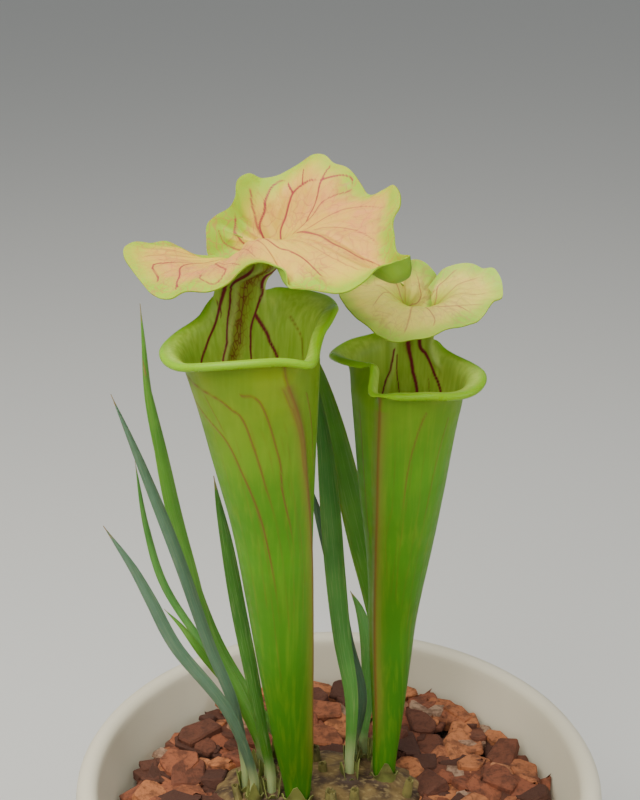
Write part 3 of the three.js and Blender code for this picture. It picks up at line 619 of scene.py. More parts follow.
@dataclass
class Sheet:
    """A thin surface built row by row, whose points carry named numbers."""

    names: tuple[str, ...]
    points: list[Array] = field(default_factory=list)
    numbers: dict[str, list[Array]] = field(default_factory=dict)
    faces: list[tuple[int, ...]] = field(default_factory=list)
    count: int = 0
    calm_rounds: int = 7
    crease_rounds: int = 40
    tightest: float = 1.4

    def row(self, points: Array, **numbers: Numbers) -> Array:
        """Adds a row of points.

        Args:
            points: The row's points.
            **numbers: What each point carries. What isn't named is 0.

        Returns:
            The points' places in the mesh.
        """
        self.points.append(points)
        for name in self.names:
            values = np.broadcast_to(np.asarray(numbers.get(name, 0.0), float), (len(points),))
            self.numbers.setdefault(name, []).append(values)
        self.count += len(points)
        return np.arange(self.count - len(points), self.count)

    def ring(self, points: Array, **numbers: Numbers) -> Array:
        """Adds a row as row does, and returns its places with the first one again at the end."""
        places = self.row(points, **numbers)
        return np.concatenate([places, places[:1]])

    def join(self, low: Array, high: Array, low_at: Array | None = None,
             high_at: Array | None = None) -> None:
        """Fills between two rows, which may have different numbers of points.

        Args:
            low: The first row's places in the mesh.
            high: The second row's.
            low_at: Where each point of the first row is along it, for rows of unlike count.
            high_at: The same for the second row.
        """
        if len(low) == len(high):
            for n in range(len(low) - 1):
                self.face(low[n], high[n], high[n + 1], low[n + 1])
            return
        i = 0
        j = 0
        while i < len(low) - 1 or j < len(high) - 1:
            next_low = low_at[i + 1] if i < len(low) - 1 else math.inf
            next_high = high_at[j + 1] if j < len(high) - 1 else math.inf
            if next_low < next_high:
                self.face(low[i], high[j], low[i + 1])
                i += 1
            else:
                self.face(low[i], high[j], high[j + 1])
                j += 1

    def face(self, *corners: int) -> None:
        """Adds a face, without any corner that it repeats."""
        kept = [c for n, c in enumerate(corners) if c != corners[n - 1]]
        if len(kept) > 2:
            self.faces.append(tuple(int(c) for c in kept))

    def piece(self, name: str, thickness: float, veins: dict[Side, Array],
              lift: Array, soft: Array) -> Object:
        """Makes the sheet an object with a wall of the given thickness.

        Args:
            name: The object's name.
            thickness: The wall, in millimetres.
            veins: How strongly veins show at each point, for each side of the wall.
            lift: How far each point moves outwards before the wall is made, in millimetres.
            soft: How much each point is smoothed, from 0 to 1.

        Returns:
            The object, smooth shaded.
        """
        middle = np.concatenate(self.points)
        mesh = bpy.data.meshes.new(name)
        mesh.from_pydata((middle * MM).tolist(), [], self.faces)
        for label in self.names:
            carry(mesh, label, np.concatenate(self.numbers[label]))
        made = placed(name, mesh)
        normals = point_normals(mesh)
        put(mesh, (middle + normals * lift[:, None]) * MM)
        relax(made, soft, self.calm_rounds)
        relax(made, creased(mesh, self.tightest), self.crease_rounds)
        middle = coordinates(mesh) / MM
        modify(made, "SOLIDIFY", thickness=thickness * MM, offset=0)
        mesh = made.data
        moved = np.sum((coordinates(mesh)[:self.count] / MM - middle) * normals, axis=1)
        first = Side.OUTER if np.median(moved) > 0 else Side.INNER
        second = Side.INNER if first is Side.OUTER else Side.OUTER
        carry(mesh, "vein", np.concatenate([veins[first], veins[second]]))
        carry(mesh, "inner", np.repeat([float(first.value), float(second.value)], self.count))
        smooth(made)
        return made


def placed(name: str, data: bpy.types.ID) -> Object:
    """Makes an object of some data and puts it in the scene."""
    made = bpy.data.objects.new(name, data)
    bpy.context.scene.collection.objects.link(made)
    return made


def coordinates(mesh: Mesh) -> Array:
    """A mesh's points, in metres."""
    flat = np.empty(len(mesh.vertices) * 3)
    mesh.vertices.foreach_get("co", flat)
    return flat.reshape(-1, 3)


def point_normals(mesh: Mesh) -> Array:
    """The way that a mesh faces at each of its points."""
    return np.array([v.normal for v in mesh.vertices])


def put(mesh: Mesh, points: Array) -> None:
    """Moves a mesh's points to new places, in metres."""
    mesh.vertices.foreach_set("co", np.ascontiguousarray(points, dtype=float).ravel())
    mesh.update()


def carry(mesh: Mesh, name: str, values: Numbers) -> None:
    """Gives each point of a mesh a named number."""
    spread = np.broadcast_to(np.asarray(values, float), (len(mesh.vertices),))
    mesh.attributes.new(name, "FLOAT", "POINT").data.foreach_set("value", np.ascontiguousarray(spread))


def creased(mesh: Mesh, tightest: float) -> Array:
    """Finds where a surface bends too tightly for its wall.

    Args:
        mesh: The surface.
        tightest: The smallest radius that is left alone, in millimetres.

    Returns:
        A weight for each point: 1 at tight bends, fading over their neighbours.
    """
    shortest = 0.15
    rings = 6
    fading = 0.88
    ends = np.empty(len(mesh.edges) * 2, np.int32)
    mesh.edges.foreach_get("vertices", ends)
    a, b = ends.reshape(-1, 2).T
    places = coordinates(mesh) / MM
    normals = point_normals(mesh)
    length = np.linalg.norm(places[a] - places[b], axis=1)
    bend = np.linalg.norm(normals[a] - normals[b], axis=1) / np.maximum(length, shortest)
    sharp = np.zeros(len(places))
    np.maximum.at(sharp, a, bend)
    np.maximum.at(sharp, b, bend)
    weights = np.clip(2 * (sharp * tightest - 1), 0, 1)
    for _ in range(rings):
        spread = weights.copy()
        np.maximum.at(spread, a, weights[b] * fading)
        np.maximum.at(spread, b, weights[a] * fading)
        weights = spread
    return weights


def relax(piece: Object, weights: Array, rounds: int) -> None:
    """Smooths a piece.

    Args:
        piece: The piece.
        weights: How much each point is smoothed, from 0 to 1.
        rounds: How many times.
    """
    group = piece.vertex_groups.new(name="soft")
    for level in range(1, SOFT_LEVELS + 1):
        near = np.nonzero(np.rint(weights * SOFT_LEVELS) == level)[0]
        if len(near):
            group.add(near.tolist(), level / SOFT_LEVELS, "REPLACE")
    modify(piece, "SMOOTH", factor=0.5, iterations=rounds, vertex_group=group.name)
    piece.vertex_groups.clear()


def activate(piece: Object) -> None:
    """Selects this object alone and makes it the active one."""
    bpy.ops.object.select_all(action="DESELECT")
    piece.select_set(True)
    bpy.context.view_layer.objects.active = piece


def modify(piece: Object, kind: str, **settings: Any) -> None:
    """Adds a modifier of a kind with some settings to a piece, and applies it."""
    modifier = piece.modifiers.new(kind.lower(), kind)
    for name, value in settings.items():
        setattr(modifier, name, value)
    activate(piece)
    bpy.ops.object.modifier_apply(modifier=modifier.name)


def smooth(piece: Object, angle: float = 50.0) -> None:
    """Shades a piece smooth, with creases at edges sharper than the angle."""
    activate(piece)
    bpy.ops.object.shade_smooth_by_angle(angle=math.radians(angle))


def added(primitive: Callable, **sizes: Any) -> Object:
    """Runs an operator that adds a simple shape, with nothing else selected."""
    bpy.ops.object.select_all(action="DESELECT")
    primitive(**sizes)
    return bpy.context.object


def settle(piece: Object, name: str) -> Object:
    """Names a piece and its mesh, and moves its place into the mesh."""
    piece.name = name
    piece.data.name = name
    activate(piece)
    bpy.ops.object.transform_apply(location=True, rotation=True, scale=True)
    return piece


def edit(piece: Object, mode: str) -> None:
    """Readies a piece for some VERT, EDGE or FACE to be selected, with none selected yet."""
    activate(piece)
    bpy.ops.object.mode_set(mode="EDIT")
    bpy.ops.mesh.select_mode(type=mode)
    bpy.ops.mesh.select_all(action="DESELECT")
    close()


def close() -> None:
    """Goes back to object mode."""
    bpy.ops.object.mode_set(mode="OBJECT")


def face_outwards() -> None:
    """Turns all faces of the piece that is open outwards, and closes it."""
    bpy.ops.mesh.select_all(action="SELECT")
    bpy.ops.mesh.normals_make_consistent(inside=False)
    close()


def ringed_tube(name: str, sides: int, rings: int, **settings: Any) -> Object:
    """A tube of radius 1 from 0 to 1 metre high, with level rings cut into it.

    Args:
        name: The object's name.
        sides: How many sides it has.
        rings: How many rings are cut.
        **settings: What else the cylinder's operator takes.

    Returns:
        The tube, ready to be shaped.
    """
    cylinder = bpy.ops.mesh.primitive_cylinder_add
    piece = settle(added(cylinder, vertices=sides, radius=1, depth=1, location=(0, 0, 0.5), **settings), name)
    edit(piece, "EDGE")
    mesh = piece.data
    for line in mesh.edges:
        low, high = (mesh.vertices[n].co.z for n in line.vertices)
        line.select = abs(low - high) > 0.5
    bpy.ops.object.mode_set(mode="EDIT")
    bpy.ops.mesh.subdivide(number_cuts=rings)
    close()
    return piece


def joined(parts: Sequence[Object], name: str) -> Object:
    """Joins objects into the first of them.

    Args:
        parts: The objects.
        name: The name of the whole.

    Returns:
        The first object, which holds them all.
    """
    whole = parts[0]
    activate(whole)
    for part in parts:
        part.select_set(True)
    bpy.ops.object.join()
    whole.name = name
    whole.data.name = name
    return whole


def dress(piece: Object, material: Material, slot: str, *nodes: str) -> None:
    """Finishes a piece.

    Args:
        piece: The piece.
        material: Its material.
        slot: Not used.
        *nodes: The nodes that it stands for.
    """
    piece.data.materials.clear()
    piece.data.materials.append(material)
    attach(piece, "root")
    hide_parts(*nodes)
    triangles = sum(len(face.vertices) - 2 for face in piece.data.polygons)
    LOG.info("%s: %d triangles", piece.name, triangles)


@dataclass(frozen=True)
class Neck:
    """The narrow strip that carries a hood, and the gutter that it ends in."""

    bearing: float
    half_angle: float
    top_radius: float
    top_bearing: float
    left_turn: float
    right_turn: float
    turn_out: float
    up: Point
    drop: float


@dataclass
class Pitcher:
    """One pitcher: a tube with a wing, a rolled lip, a neck and a wavy hood, in one sheet.

    axis is [height, x, y, radius]. keel is [height, bearing, how far the wing stands out].
    lip is [bearing, reach from the mouth's centre, rise, lean, roll]. A hood's side is
    [x, y, z from its centre, tilt of the edge, height of the middle, length of the edge],
    from the tip round to the notch behind the neck. t, r, bearing and height are as Vein
    says. A share is how far up a part a row is, and across how far over the neck a point is.
    """

    name: str
    node: str
    axis: Stations
    keel: Stations
    top: float
    mouth: Point
    neck: Neck
    lip: Stations
    centre: Point
    left: Stations
    right: Stations
    hood_veins: Sequence[Vein]
    throat_veins: Sequence[Vein]
    tube_veins: Sequence[Vein]
    folds: Sequence[Fold]
    hood_folds: Sequence[Fold]
    stain_line: Stations
    stain_width: float
    flushes: Sequence[Patch]
    greens: Sequence[Patch]
    seed: int
    span: float = 12.0
    quilting: float = 1.1
    puckering: float = 0.42
    hood_smoothing: float = 0.045
    funnel_reach: float = 0.17
    skin: PitcherSkin = PitcherSkin()
    wall: float = 0.75
    roll_radius: float = 1.5
    keel_width: float = 75.0
    wing_width: float = 3.0
    wing_tint_width: float = 3.2
    gutter_power: float = 0.8
    neck_power: float = 1.25
    vein_reach: float = 2.5
    far_reach: float = 5.0
    slender_top: float = 300.0
    throat_depth: float = 34.0
    neck_columns: int = 28
    mouth_columns: int = 196
    slender_rows: int = 24
    tube_rows: int = 30
    throat_rows: int = 24
    flare_rows: int = 15
    roll_rows: int = 8
    neck_rows: int = 22
    funnel_rows: int = 9
    hood_columns: int = 440
    hood_rows: int = 46
    soft_points: int = 200
    outer_lines: int = 30
    inner_lines: int = 26

    def __post_init__(self) -> None:
        """Works out the curves that the surface follows."""
        self.axis_track = Track(self.axis)
        self.keel_track = Track(self.keel)
        self.lip_track = Track(self.lip, closed=True)
        self.keel_top = float(self.keel_track.at(self.top)[0])
        self.up = unit(np.array(self.neck.up, float))
        self.margin = Track(self.margin_stations())
        self.random = random.Random(self.seed)
        self.bearings = self.columns()
        self.sheet = Sheet(("hood", "rim", "blush", "funnel", "stain", "fold_highlight", "keel", "lip"))

    def margin_stations(self) -> Array:
        """The margin's stations, from -1 at the left end through the tip to 1 at the right."""
        sides = []
        for stations, sign in ((self.left, -1), (self.right, 1)):
            table = np.array(stations, float)
            steps = np.linalg.norm(np.diff(table[:, :3], axis=0), axis=1)
            runs = np.concatenate([[0], np.cumsum(steps)])
            sides.append(np.column_stack([sign * runs / runs[-1], table]))
        return np.concatenate([sides[0][::-1][:-1], sides[1]])

    def off_keel(self, bearing: Numbers) -> Array:
        """Degrees from the wing, as it stands at the tube's top."""
        return (np.asarray(bearing, float) - self.keel_top + 540) % 360 - 180

    def tube_at(self, bearing: Numbers, height: float) -> Array:
        """Points of the tube's wall, by their bearings at its top: it turns with its wing."""
        x, y, radius = self.axis_track.at(height)
        keel, proud = self.keel_track.at(height)
        off = self.off_keel(bearing)
        turn = (keel - self.keel_top) * np.exp(-(off / self.keel_width) ** 2)
        crest = proud * np.exp(-(np.radians(off) * radius / self.wing_width) ** 2)
        return bearing_vector(bearing + turn) * (radius + crest)[..., None] + np.array([x, y, height])

    def crest(self, bearing: Numbers) -> Array:
        """The highest line of the lip at bearings from the mouth's centre."""
        reach, rise = self.lip_track.at(bearing)[..., :2].T
        lift = np.zeros(np.shape(reach) + (3,))
        lift[..., 2] = rise
        return bearing_vector(bearing) * reach[..., None] + np.array(self.mouth) + lift

    def lip_frame(self, bearing: Array) -> tuple[Array, Array, Array, Array]:
        """The lip's crest, the way it points there, the way it falls, and how far it rolls."""
        lean, roll = self.lip_track.at(bearing)[..., 2:].T
        lean = np.radians(lean)
        along = unit(self.crest(bearing + 0.5) - self.crest(bearing - 0.5))
        rim = bearing_vector(bearing) * np.sin(lean)[..., None]
        rim[..., 2] = np.cos(lean)
        rim = unit(rim - 0.6 * np.sum(rim * along, -1, keepdims=True) * along)
        fall = unit(np.cross(along, rim))
        return self.crest(bearing), rim, fall, np.radians(np.maximum(0, roll))

    def flare_at(self, bearing: Array, share: float) -> Array:
        """Points between the tube's top and the lip's crest."""
        start = self.tube_at(bearing, self.top)
        slope = unit(start - self.tube_at(bearing, self.top - 3))
        point, rim, _, _ = self.lip_frame(bearing)
        reach = np.linalg.norm(point - start, axis=-1, keepdims=True) * 0.45
        return bezier(start, start + slope * reach, point - rim * reach, point, share)

    def roll_at(self, bearing: Array, share: float) -> Array:
        """Points of the rolled lip beyond its crest."""
        point, rim, fall, roll = self.lip_frame(bearing)
        angle = (roll * share)[..., None]
        return point + self.roll_radius * (rim * np.sin(angle) + fall * (1 - np.cos(angle)))

    def neck_top(self, t: Array) -> Array:
        """The gutter at the top of the neck."""
        neck = self.neck
        across = eased(t, self.gutter_power)
        turn = np.radians(across * np.where(across < 0, neck.left_turn, neck.right_turn))[..., None]
        side = bearing_vector(neck.top_bearing)
        back = np.array([-side[1], side[0], 0])
        low = np.array(self.centre) - np.array([0, 0, neck.drop])
        return low + neck.top_radius * (side * np.sin(turn) + 0.75 * back * (1 - np.cos(turn)))

    def neck_at(self, across: Array, share: float) -> Array:
        """Points of the neck, from -1 at its left edge to 1 at its right."""
        base = self.crest(self.neck.bearing - across * self.neck.half_angle)
        top = self.neck_top(eased(across, self.neck_power))
        height = np.linalg.norm(top - base, axis=-1, keepdims=True)
        rise = np.array([0, 0, 0.4]) * height
        return bezier(base, base + rise, top - self.up * height * 0.35, top, share)

    def raw_hood(self, t: Array, r: float) -> Array:
        """Points of the hood before it is smoothed across.

        Each line from the neck to the margin is a smooth curve in three steps: to a middle
        at r 0.4, to the bend where the edge begins at r 0.85, and to the margin at r 1.
        """
        mid_r, bend_r, outer_share = 0.4, 0.85, 0.6
        mid_step, bend_step, end_step = 0.4, 0.45, 0.15
        margin = self.margin.at(t)
        tilt = np.radians(margin[:, 3])
        edge = margin[:, 5]
        start = self.neck_top(t)
        end = np.array(self.centre) + margin[:, :3]
        out = end - start
        out[:, 2] = 0
        out = unit(out)
        bend = end - out * (edge * np.cos(tilt))[:, None]
        bend[:, 2] -= edge * np.sin(tilt)
        mid = start + (bend - start) * 0.42
        mid[:, 2] = self.centre[2] + margin[:, 4]
        lean = (self.neck.turn_out * np.abs(t) ** 3)[:, None]
        heading = unit(self.up * (1 - lean) + unit(mid - start) * lean)
        heading = heading * np.linalg.norm(mid - start, axis=-1, keepdims=True)
        steps = [(mid - start) / mid_step, (bend - mid) / bend_step, (end - bend) / end_step]
        at_mid = (steps[0] * bend_step + steps[1] * mid_step) / bend_r
        at_bend = (steps[1] * end_step + steps[2] * bend_step) / outer_share
        if r < mid_r:
            return hermite(start, mid, heading, at_mid * mid_step, r / mid_step)
        if r < bend_r:
            return hermite(mid, bend, at_mid * bend_step, at_bend * bend_step, (r - mid_r) / bend_step)
        return hermite(bend, end, at_bend * end_step, steps[2] * end_step, (r - bend_r) / end_step)

    def hood_at(self, places: Array, r: float) -> Array:
        """A row of the hood, smoothed along the row more and more towards the neck."""
        fine = 800
        t = np.linspace(-1, 1, fine + 1)
        raw = self.raw_hood(t, r)
        spread = self.hood_smoothing * (1 - r) * fine / 2
        reach = math.ceil(3 * spread)
        if reach:
            before = 2 * raw[0] - raw[reach:0:-1]
            after = 2 * raw[-1] - raw[-2:-reach - 2:-1]
            long = np.concatenate([before, raw, after])
            weights = np.exp(-0.5 * (np.arange(-reach, reach + 1) / spread) ** 2)
            weights /= weights.sum()
            raw = np.stack([np.convolve(long[:, k], weights, mode="valid") for k in range(3)], -1)
        return between(places, t, raw)

    def pucker(self, points: Array, t: Array, r: float) -> Array:
        """Raises and lowers a row of the hood in small swellings, more towards the margin."""
        lift = np.sin(t * 31 + 4 * r + self.seed) * np.sin(r * 17 + 3 * np.sin(t * 9))
        lift = lift + 0.6 * np.sin(t * 57 - 6 * r) * np.sin(r * 11 + 2)
        moved = points.copy()
        moved[:, 2] += self.puckering * lift * r * (1 - 0.55 * r)
        return moved

    def patched(self, patches: Sequence[Patch], t: Array, r: float) -> Array:
        """How strongly patches of colour show along a row of the hood, from 0 to 1."""
        total = np.zeros_like(t)
        for patch in patches:
            away = ((t - patch.t) / patch.wide) ** 2 + ((r - patch.r) / patch.deep) ** 2
            total += patch.strength * np.exp(-away)
        return np.clip(total, 0, 1)

    def net_veins(self) -> list[Vein]:
        """Finer veins that leave the neck, fork and run towards the margin."""
        made = []
        place = -0.94
        while place < 0.95:
            sway = self.random.uniform(-0.02, 0.02)
            fork = self.random.uniform(0.42, 0.68)
            spread = self.random.uniform(0.016, 0.034)
            end = self.random.uniform(0.84, 0.95)
            stem = [(place, 0.08), (place + sway, 0.3), (place - sway * 0.5, fork)]
            made.append(Vein(stem, 0.36, 0.34))
            for turn in (-1, 1):
                middle = (place + turn * spread * 0.7, (fork + end) / 2)
                tip = (place + turn * spread * self.random.uniform(0.8, 1.7), end)
                made.append(Vein([stem[-1], middle, tip], 0.34, 0.32))
            if self.random.random() < 0.6:
                level = self.random.uniform(0.6, 0.85)
                made.append(Vein([(place + spread, level), (place + 0.04, level + 0.03),
                                  (place + 0.075, level - 0.02)], 0.32, 0.3))
            place += self.random.uniform(0.062, 0.092)
        return made

    def tube_lines(self, low: float, high: float, count: int, depth: float) -> list[Vein]:
        """Draws fine lengthwise veins all round the tube.

        Args:
            low: The least height that one starts at.
            high: The greatest that one ends at.
            count: How many there are.
            depth: How strongly they show at most.

        Returns:
            The veins.
        """
        made = []
        for n in range(count):
            bearing = 118 - 360 * (n + self.random.uniform(0.1, 0.9)) / count
            foot = self.random.uniform(low, low + 0.45 * (high - low))
            head = high - self.random.uniform(0, 0.1) * (high - low)
            points = []
            for step in range(5):
                height = foot + (head - foot) * step / 4
                points.append((bearing + self.random.uniform(-3, 3), height))
            made.append(Vein(points, 0.34, depth * self.random.uniform(0.5, 1)))
        return made

    def tube_point(self, bearing: float, height: float) -> Array:
        """A point of the wall, the flare or the neck, by its bearing and height.

        Args:
            bearing: Degrees round the mouth.
            height: Millimetres up the wall. Past the wall's top, the flare and then the
                neck each count as one span.

        Returns:
            The point on the surface.
        """
        if height <= self.top:
            return self.tube_at(np.array([bearing]), height)[0]
        share = (height - self.top) / self.span
        if share <= 1:
            return self.flare_at(np.array([bearing]), share)[0]
        across = np.clip((self.neck.bearing - bearing) / self.neck.half_angle, -1, 1)
        return self.neck_at(np.array([across]), share - 1)[0]

    def nearest(self, points: Array, veins: Sequence[Vein | Fold], place: Callable,
                reach: float) -> tuple[Array, Array]:
        """Finds how strongly veins show at each point, and how far away the nearest is.

        Args:
            points: The surface's points.
            veins: The veins or folds.
            place: Turns a vein's own coordinates into a point in space.
            reach: The farthest distance that is measured, in millimetres.

        Returns:
            Strengths between 0 and 1, and distances up to the reach.
        """
        shown = np.zeros(len(points))
        gaps = np.full(len(points), reach)
        for vein in veins:
            line = np.array([place(*pair) for pair in traced(vein)])
            low = line.min(0) - reach
            high = line.max(0) + reach
            near = np.nonzero(np.all((points >= low) & (points <= high), axis=1))[0]
            if len(near) == 0:
                continue
            start = line[:-1]
            step = line[1:] - start
            length = np.maximum(np.sum(step * step, axis=1), 1e-9)
            for part in np.array_split(near, max(1, len(near) // 400)):
                away = points[part][:, None, :] - start[None]
                share = np.clip(np.sum(away * step[None], axis=2) / length[None], 0, 1)
                gap = np.linalg.norm(away - share[..., None] * step[None], axis=2)
                distance = gap.min(1)
                along = (gap.argmin(1) + 0.5) / len(start)
                depth = vein.depth * np.clip((1 - along) * 7, 0.2, 1)
                width = vein.width * (1.15 - 0.4 * along)
                strength = depth * np.exp(-(distance / width) ** 2)
                shown[part] = np.maximum(shown[part], strength)
                gaps[part] = np.minimum(gaps[part], distance)
        return shown, gaps

    def raised(self, points: Array, fold: Fold, place: Callable) -> Array:
        """How far a fold raises each point, in millimetres."""
        return fold.height * self.nearest(points, [fold], place, 3 * fold.width)[0]

    def shape_lift(self, points: Array, gap: Array, shown: Array) -> Array:
        """Shapes the folds, and the swellings between a hood's veins.

        Args:
            points: All of the surface's points.
            gap: How far each point of the hood is from a vein.
            shown: How strongly veins show at each of them.

        Returns:
            How far each point is moved outwards.
        """
        lift = np.zeros(len(points))
        start = self.hood_start
        for fold in self.folds:
            lift[:start] -= self.raised(points[:start], fold, self.tube_point)
        levels = np.repeat(self.hood_levels, self.hood_counts)
        calm = np.clip(levels / 0.25, 0, 1) * (1 - 0.5 * np.clip((levels - 0.85) / 0.15, 0, 1))
        swelling = self.quilting * (1 - np.exp(-(gap / 2.8) ** 2)) - 0.25 * shown
        lift[start:] += calm * (swelling - 0.5 * self.quilting)
        for fold in self.hood_folds:
            lift[start:] += self.raised(points[start:], fold, self.hood_point)
        return lift

    def columns(self) -> Array:
        """The tube's columns, as falling bearings: the neck's from its left, then the others."""
        first = self.neck.bearing + self.neck.half_angle
        neck = np.linspace(first, first - 2 * self.neck.half_angle, self.neck_columns + 1)
        others = np.linspace(neck[-1], first - 360, self.mouth_columns + 1)[1:-1]
        return np.concatenate([neck, others])

    def heights(self) -> Array:
        """The heights of the tube's rows, which stand closer in the throat."""
        throat = self.top - self.throat_depth
        return np.concatenate([np.linspace(STEM_FOOT, self.slender_top, self.slender_rows),
                               np.linspace(self.slender_top, throat, self.tube_rows)[1:],
                               np.linspace(throat, self.top, self.throat_rows)[1:]])

    def add_tube(self) -> Array:
        """Adds the tube and its flare, closes its foot, and returns the crest's places in the mesh."""
        sheet = self.sheet
        bearings = self.bearings
        first = bearings[0]
        lines = []
        for vein in (*self.throat_veins, *self.tube_veins):
            line = traced(vein)
            line[:, 0] = first - (first - line[:, 0]) % 360
            lines.append(line)
        rows = []
        for height in self.heights():
            places = snapped(bearings, lines, height)
            off = np.radians(self.off_keel(places)) * float(self.axis_track.at(height)[2])
            tint = np.exp(-(off / self.wing_tint_width) ** 2) * np.clip((height - 190) / 30, 0, 1)
            rows.append(sheet.ring(self.tube_at(places, height), keel=0.75 * tint))
        for n in range(1, self.flare_rows + 1):
            share = n / self.flare_rows
            places = snapped(bearings, lines, self.top + self.span * share) if share < 0.85 else bearings
            lip = np.clip((share - 0.86) / 0.14, 0, 1) * (self.lip_track.at(bearings)[:, 3] > 5)
            rows.append(sheet.ring(self.flare_at(places, share), lip=lip * 0.8))
        for below, above in zip(rows, rows[1:]):
            sheet.join(below, above)
        foot = sheet.row(self.foot_centre()[None])
        for n in range(len(bearings)):
            sheet.face(rows[0][n + 1], foot[0], rows[0][n])
        return rows[-1]

    def foot_centre(self) -> Array:
        """The middle of the stem's foot."""
        x, y, _ = self.axis_track.at(STEM_FOOT)
        return np.array([x, y, STEM_FOOT])

    def add_roll(self, crest: Array) -> None:
        """Adds the rolled lip round the open mouth, from its crest's places in the mesh."""
        previous = crest[self.neck_columns:]
        for n in range(1, self.roll_rows + 1):
            points = self.roll_at(self.bearings[self.neck_columns + 1:], n / self.roll_rows)
            row = self.sheet.row(points, lip=1.0)
            row = np.concatenate([crest[[self.neck_columns]], row, crest[[-1]]])
            self.sheet.join(previous, row)
            previous = row

    def add_neck(self, crest: Array) -> tuple[Array, Array]:
        """Adds the neck above the back of the lip.

        Args:
            crest: The places in the mesh of the part of the lip that carries it.

        Returns:
            The places in the mesh of its top row, and where across the hood each one is.
        """
        across = np.linspace(-1, 1, 2 * self.neck_columns + 1)
        t = eased(across, self.neck_power)
        below = crest
        below_t = eased(across[::2], self.neck_power)
        for n in range(1, self.neck_rows + 1):
            share = n / self.neck_rows
            hood = 0.55 * np.clip((share - 0.75) / 0.25, 0, 1) ** 2
            row = self.sheet.row(self.neck_at(across, share), hood=hood)
            self.sheet.join(below, row, below_t, t)
            below = row
            below_t = t
        return below, below_t

    def add_hood(self, below: Array, below_t: Array, veins: Sequence[Vein]) -> None:
        """Adds the hood at the top of the neck.

        Args:
            below: The places in the mesh of the neck's top row.
            below_t: Where across the hood each one is.
            veins: The hood's veins, which rows are placed on.
        """
        finer_r = 0.3
        self.hood_start = self.sheet.count
        self.hood_counts = []
        self.hood_levels = np.concatenate([np.linspace(0.03, finer_r, self.funnel_rows),
                                           np.linspace(finer_r, 1, self.hood_rows)[1:]])
        wide = np.linspace(-1, 1, self.hood_columns + 1)
        lines = [traced(vein) for vein in veins]
        grid = []
        for r in self.hood_levels.tolist():
            count = self.hood_columns // 2 if r < finer_r else self.hood_columns
            self.hood_counts.append(count + 1)
            t = np.linspace(-1, 1, count + 1)
            if r > finer_r:
                t = snapped(t, lines, r)
            points = self.pucker(self.hood_at(t, r), t, r)
            rim = np.clip((r - 0.58) / 0.38, 0, 1) + 0.5 * np.clip((np.abs(t) - 0.9) / 0.1, 0, 1)
            row = self.sheet.row(points, hood=0.55 + 0.45 * np.clip(r / 0.22, 0, 1),
                                 rim=rim + self.patched(self.greens, t, r),
                                 blush=self.patched(self.flushes, t, r),
                                 funnel=np.exp(-(r / self.funnel_reach) ** 2))
            self.sheet.join(below, row, below_t, t)
            below = row
            below_t = t
            grid.append(between(wide, t, points))
        self.hood_grid = np.stack(grid)

    def hood_point(self, t: float, r: float) -> Array:
        """The hood's point at t and r, between the rows that were built."""
        at_row = np.interp(r, self.hood_levels, np.arange(len(self.hood_levels)))
        at_column = np.clip((t + 1) / 2, 0, 1) * self.hood_columns
        row = min(int(at_row), len(self.hood_levels) - 2)
        column = min(int(at_column), self.hood_columns - 1)
        up = at_row - row
        over = at_column - column
        low = self.hood_grid[row, column] * (1 - over) + self.hood_grid[row, column + 1] * over
        high = self.hood_grid[row + 1, column] * (1 - over) + self.hood_grid[row + 1, column + 1] * over
        return low * (1 - up) + high * up

    def build(self) -> Object:
        """Builds the whole pitcher as one thin-walled piece."""
        sheet = self.sheet
        outer = [*self.tube_veins, *self.tube_lines(230, self.top, self.outer_lines, 0.36)]
        inner = [*self.throat_veins,
                 *self.tube_lines(self.top - 70, self.top + 9, self.inner_lines, 0.25)]
        hood_lines = [*self.hood_veins, *self.net_veins()]
        crest = self.add_tube()
        self.add_roll(crest)
        self.add_hood(*self.add_neck(crest[:self.neck_columns + 1]), hood_lines)
        points = np.concatenate(sheet.points)
        tube = points[:self.hood_start]
        veins = {}
        on_hood, gap = self.nearest(points[self.hood_start:], hood_lines, self.hood_point, self.far_reach)
        for side, lines in ((Side.OUTER, outer), (Side.INNER, inner)):
            on_tube, _ = self.nearest(tube, lines, self.tube_point, self.vein_reach)
            veins[side] = np.concatenate([on_tube, on_hood])
        lift = self.shape_lift(points, gap, on_hood)
        stain = Vein(self.stain_line, self.stain_width)
        stained, _ = self.nearest(tube, [stain], self.tube_point, 3 * self.stain_width)
        # The raised folds, along which the throat's painted highlight is laid.
        pale = [fold for fold in self.folds if fold.height > 0]
        fold_highlight, _ = self.nearest(tube, pale, self.tube_point, self.far_reach)
        bare = np.zeros(len(on_hood))
        sheet.numbers["stain"] = [np.concatenate([stained, bare])]
        sheet.numbers["fold_highlight"] = [np.concatenate([fold_highlight, bare])]
        soft = (np.arange(sheet.count) > self.hood_start - self.soft_points).astype(float)
        piece = sheet.piece(self.name, self.wall, veins, lift, soft)
        dress(piece, self.skin.material(), "pitcher", self.node)
        return piece


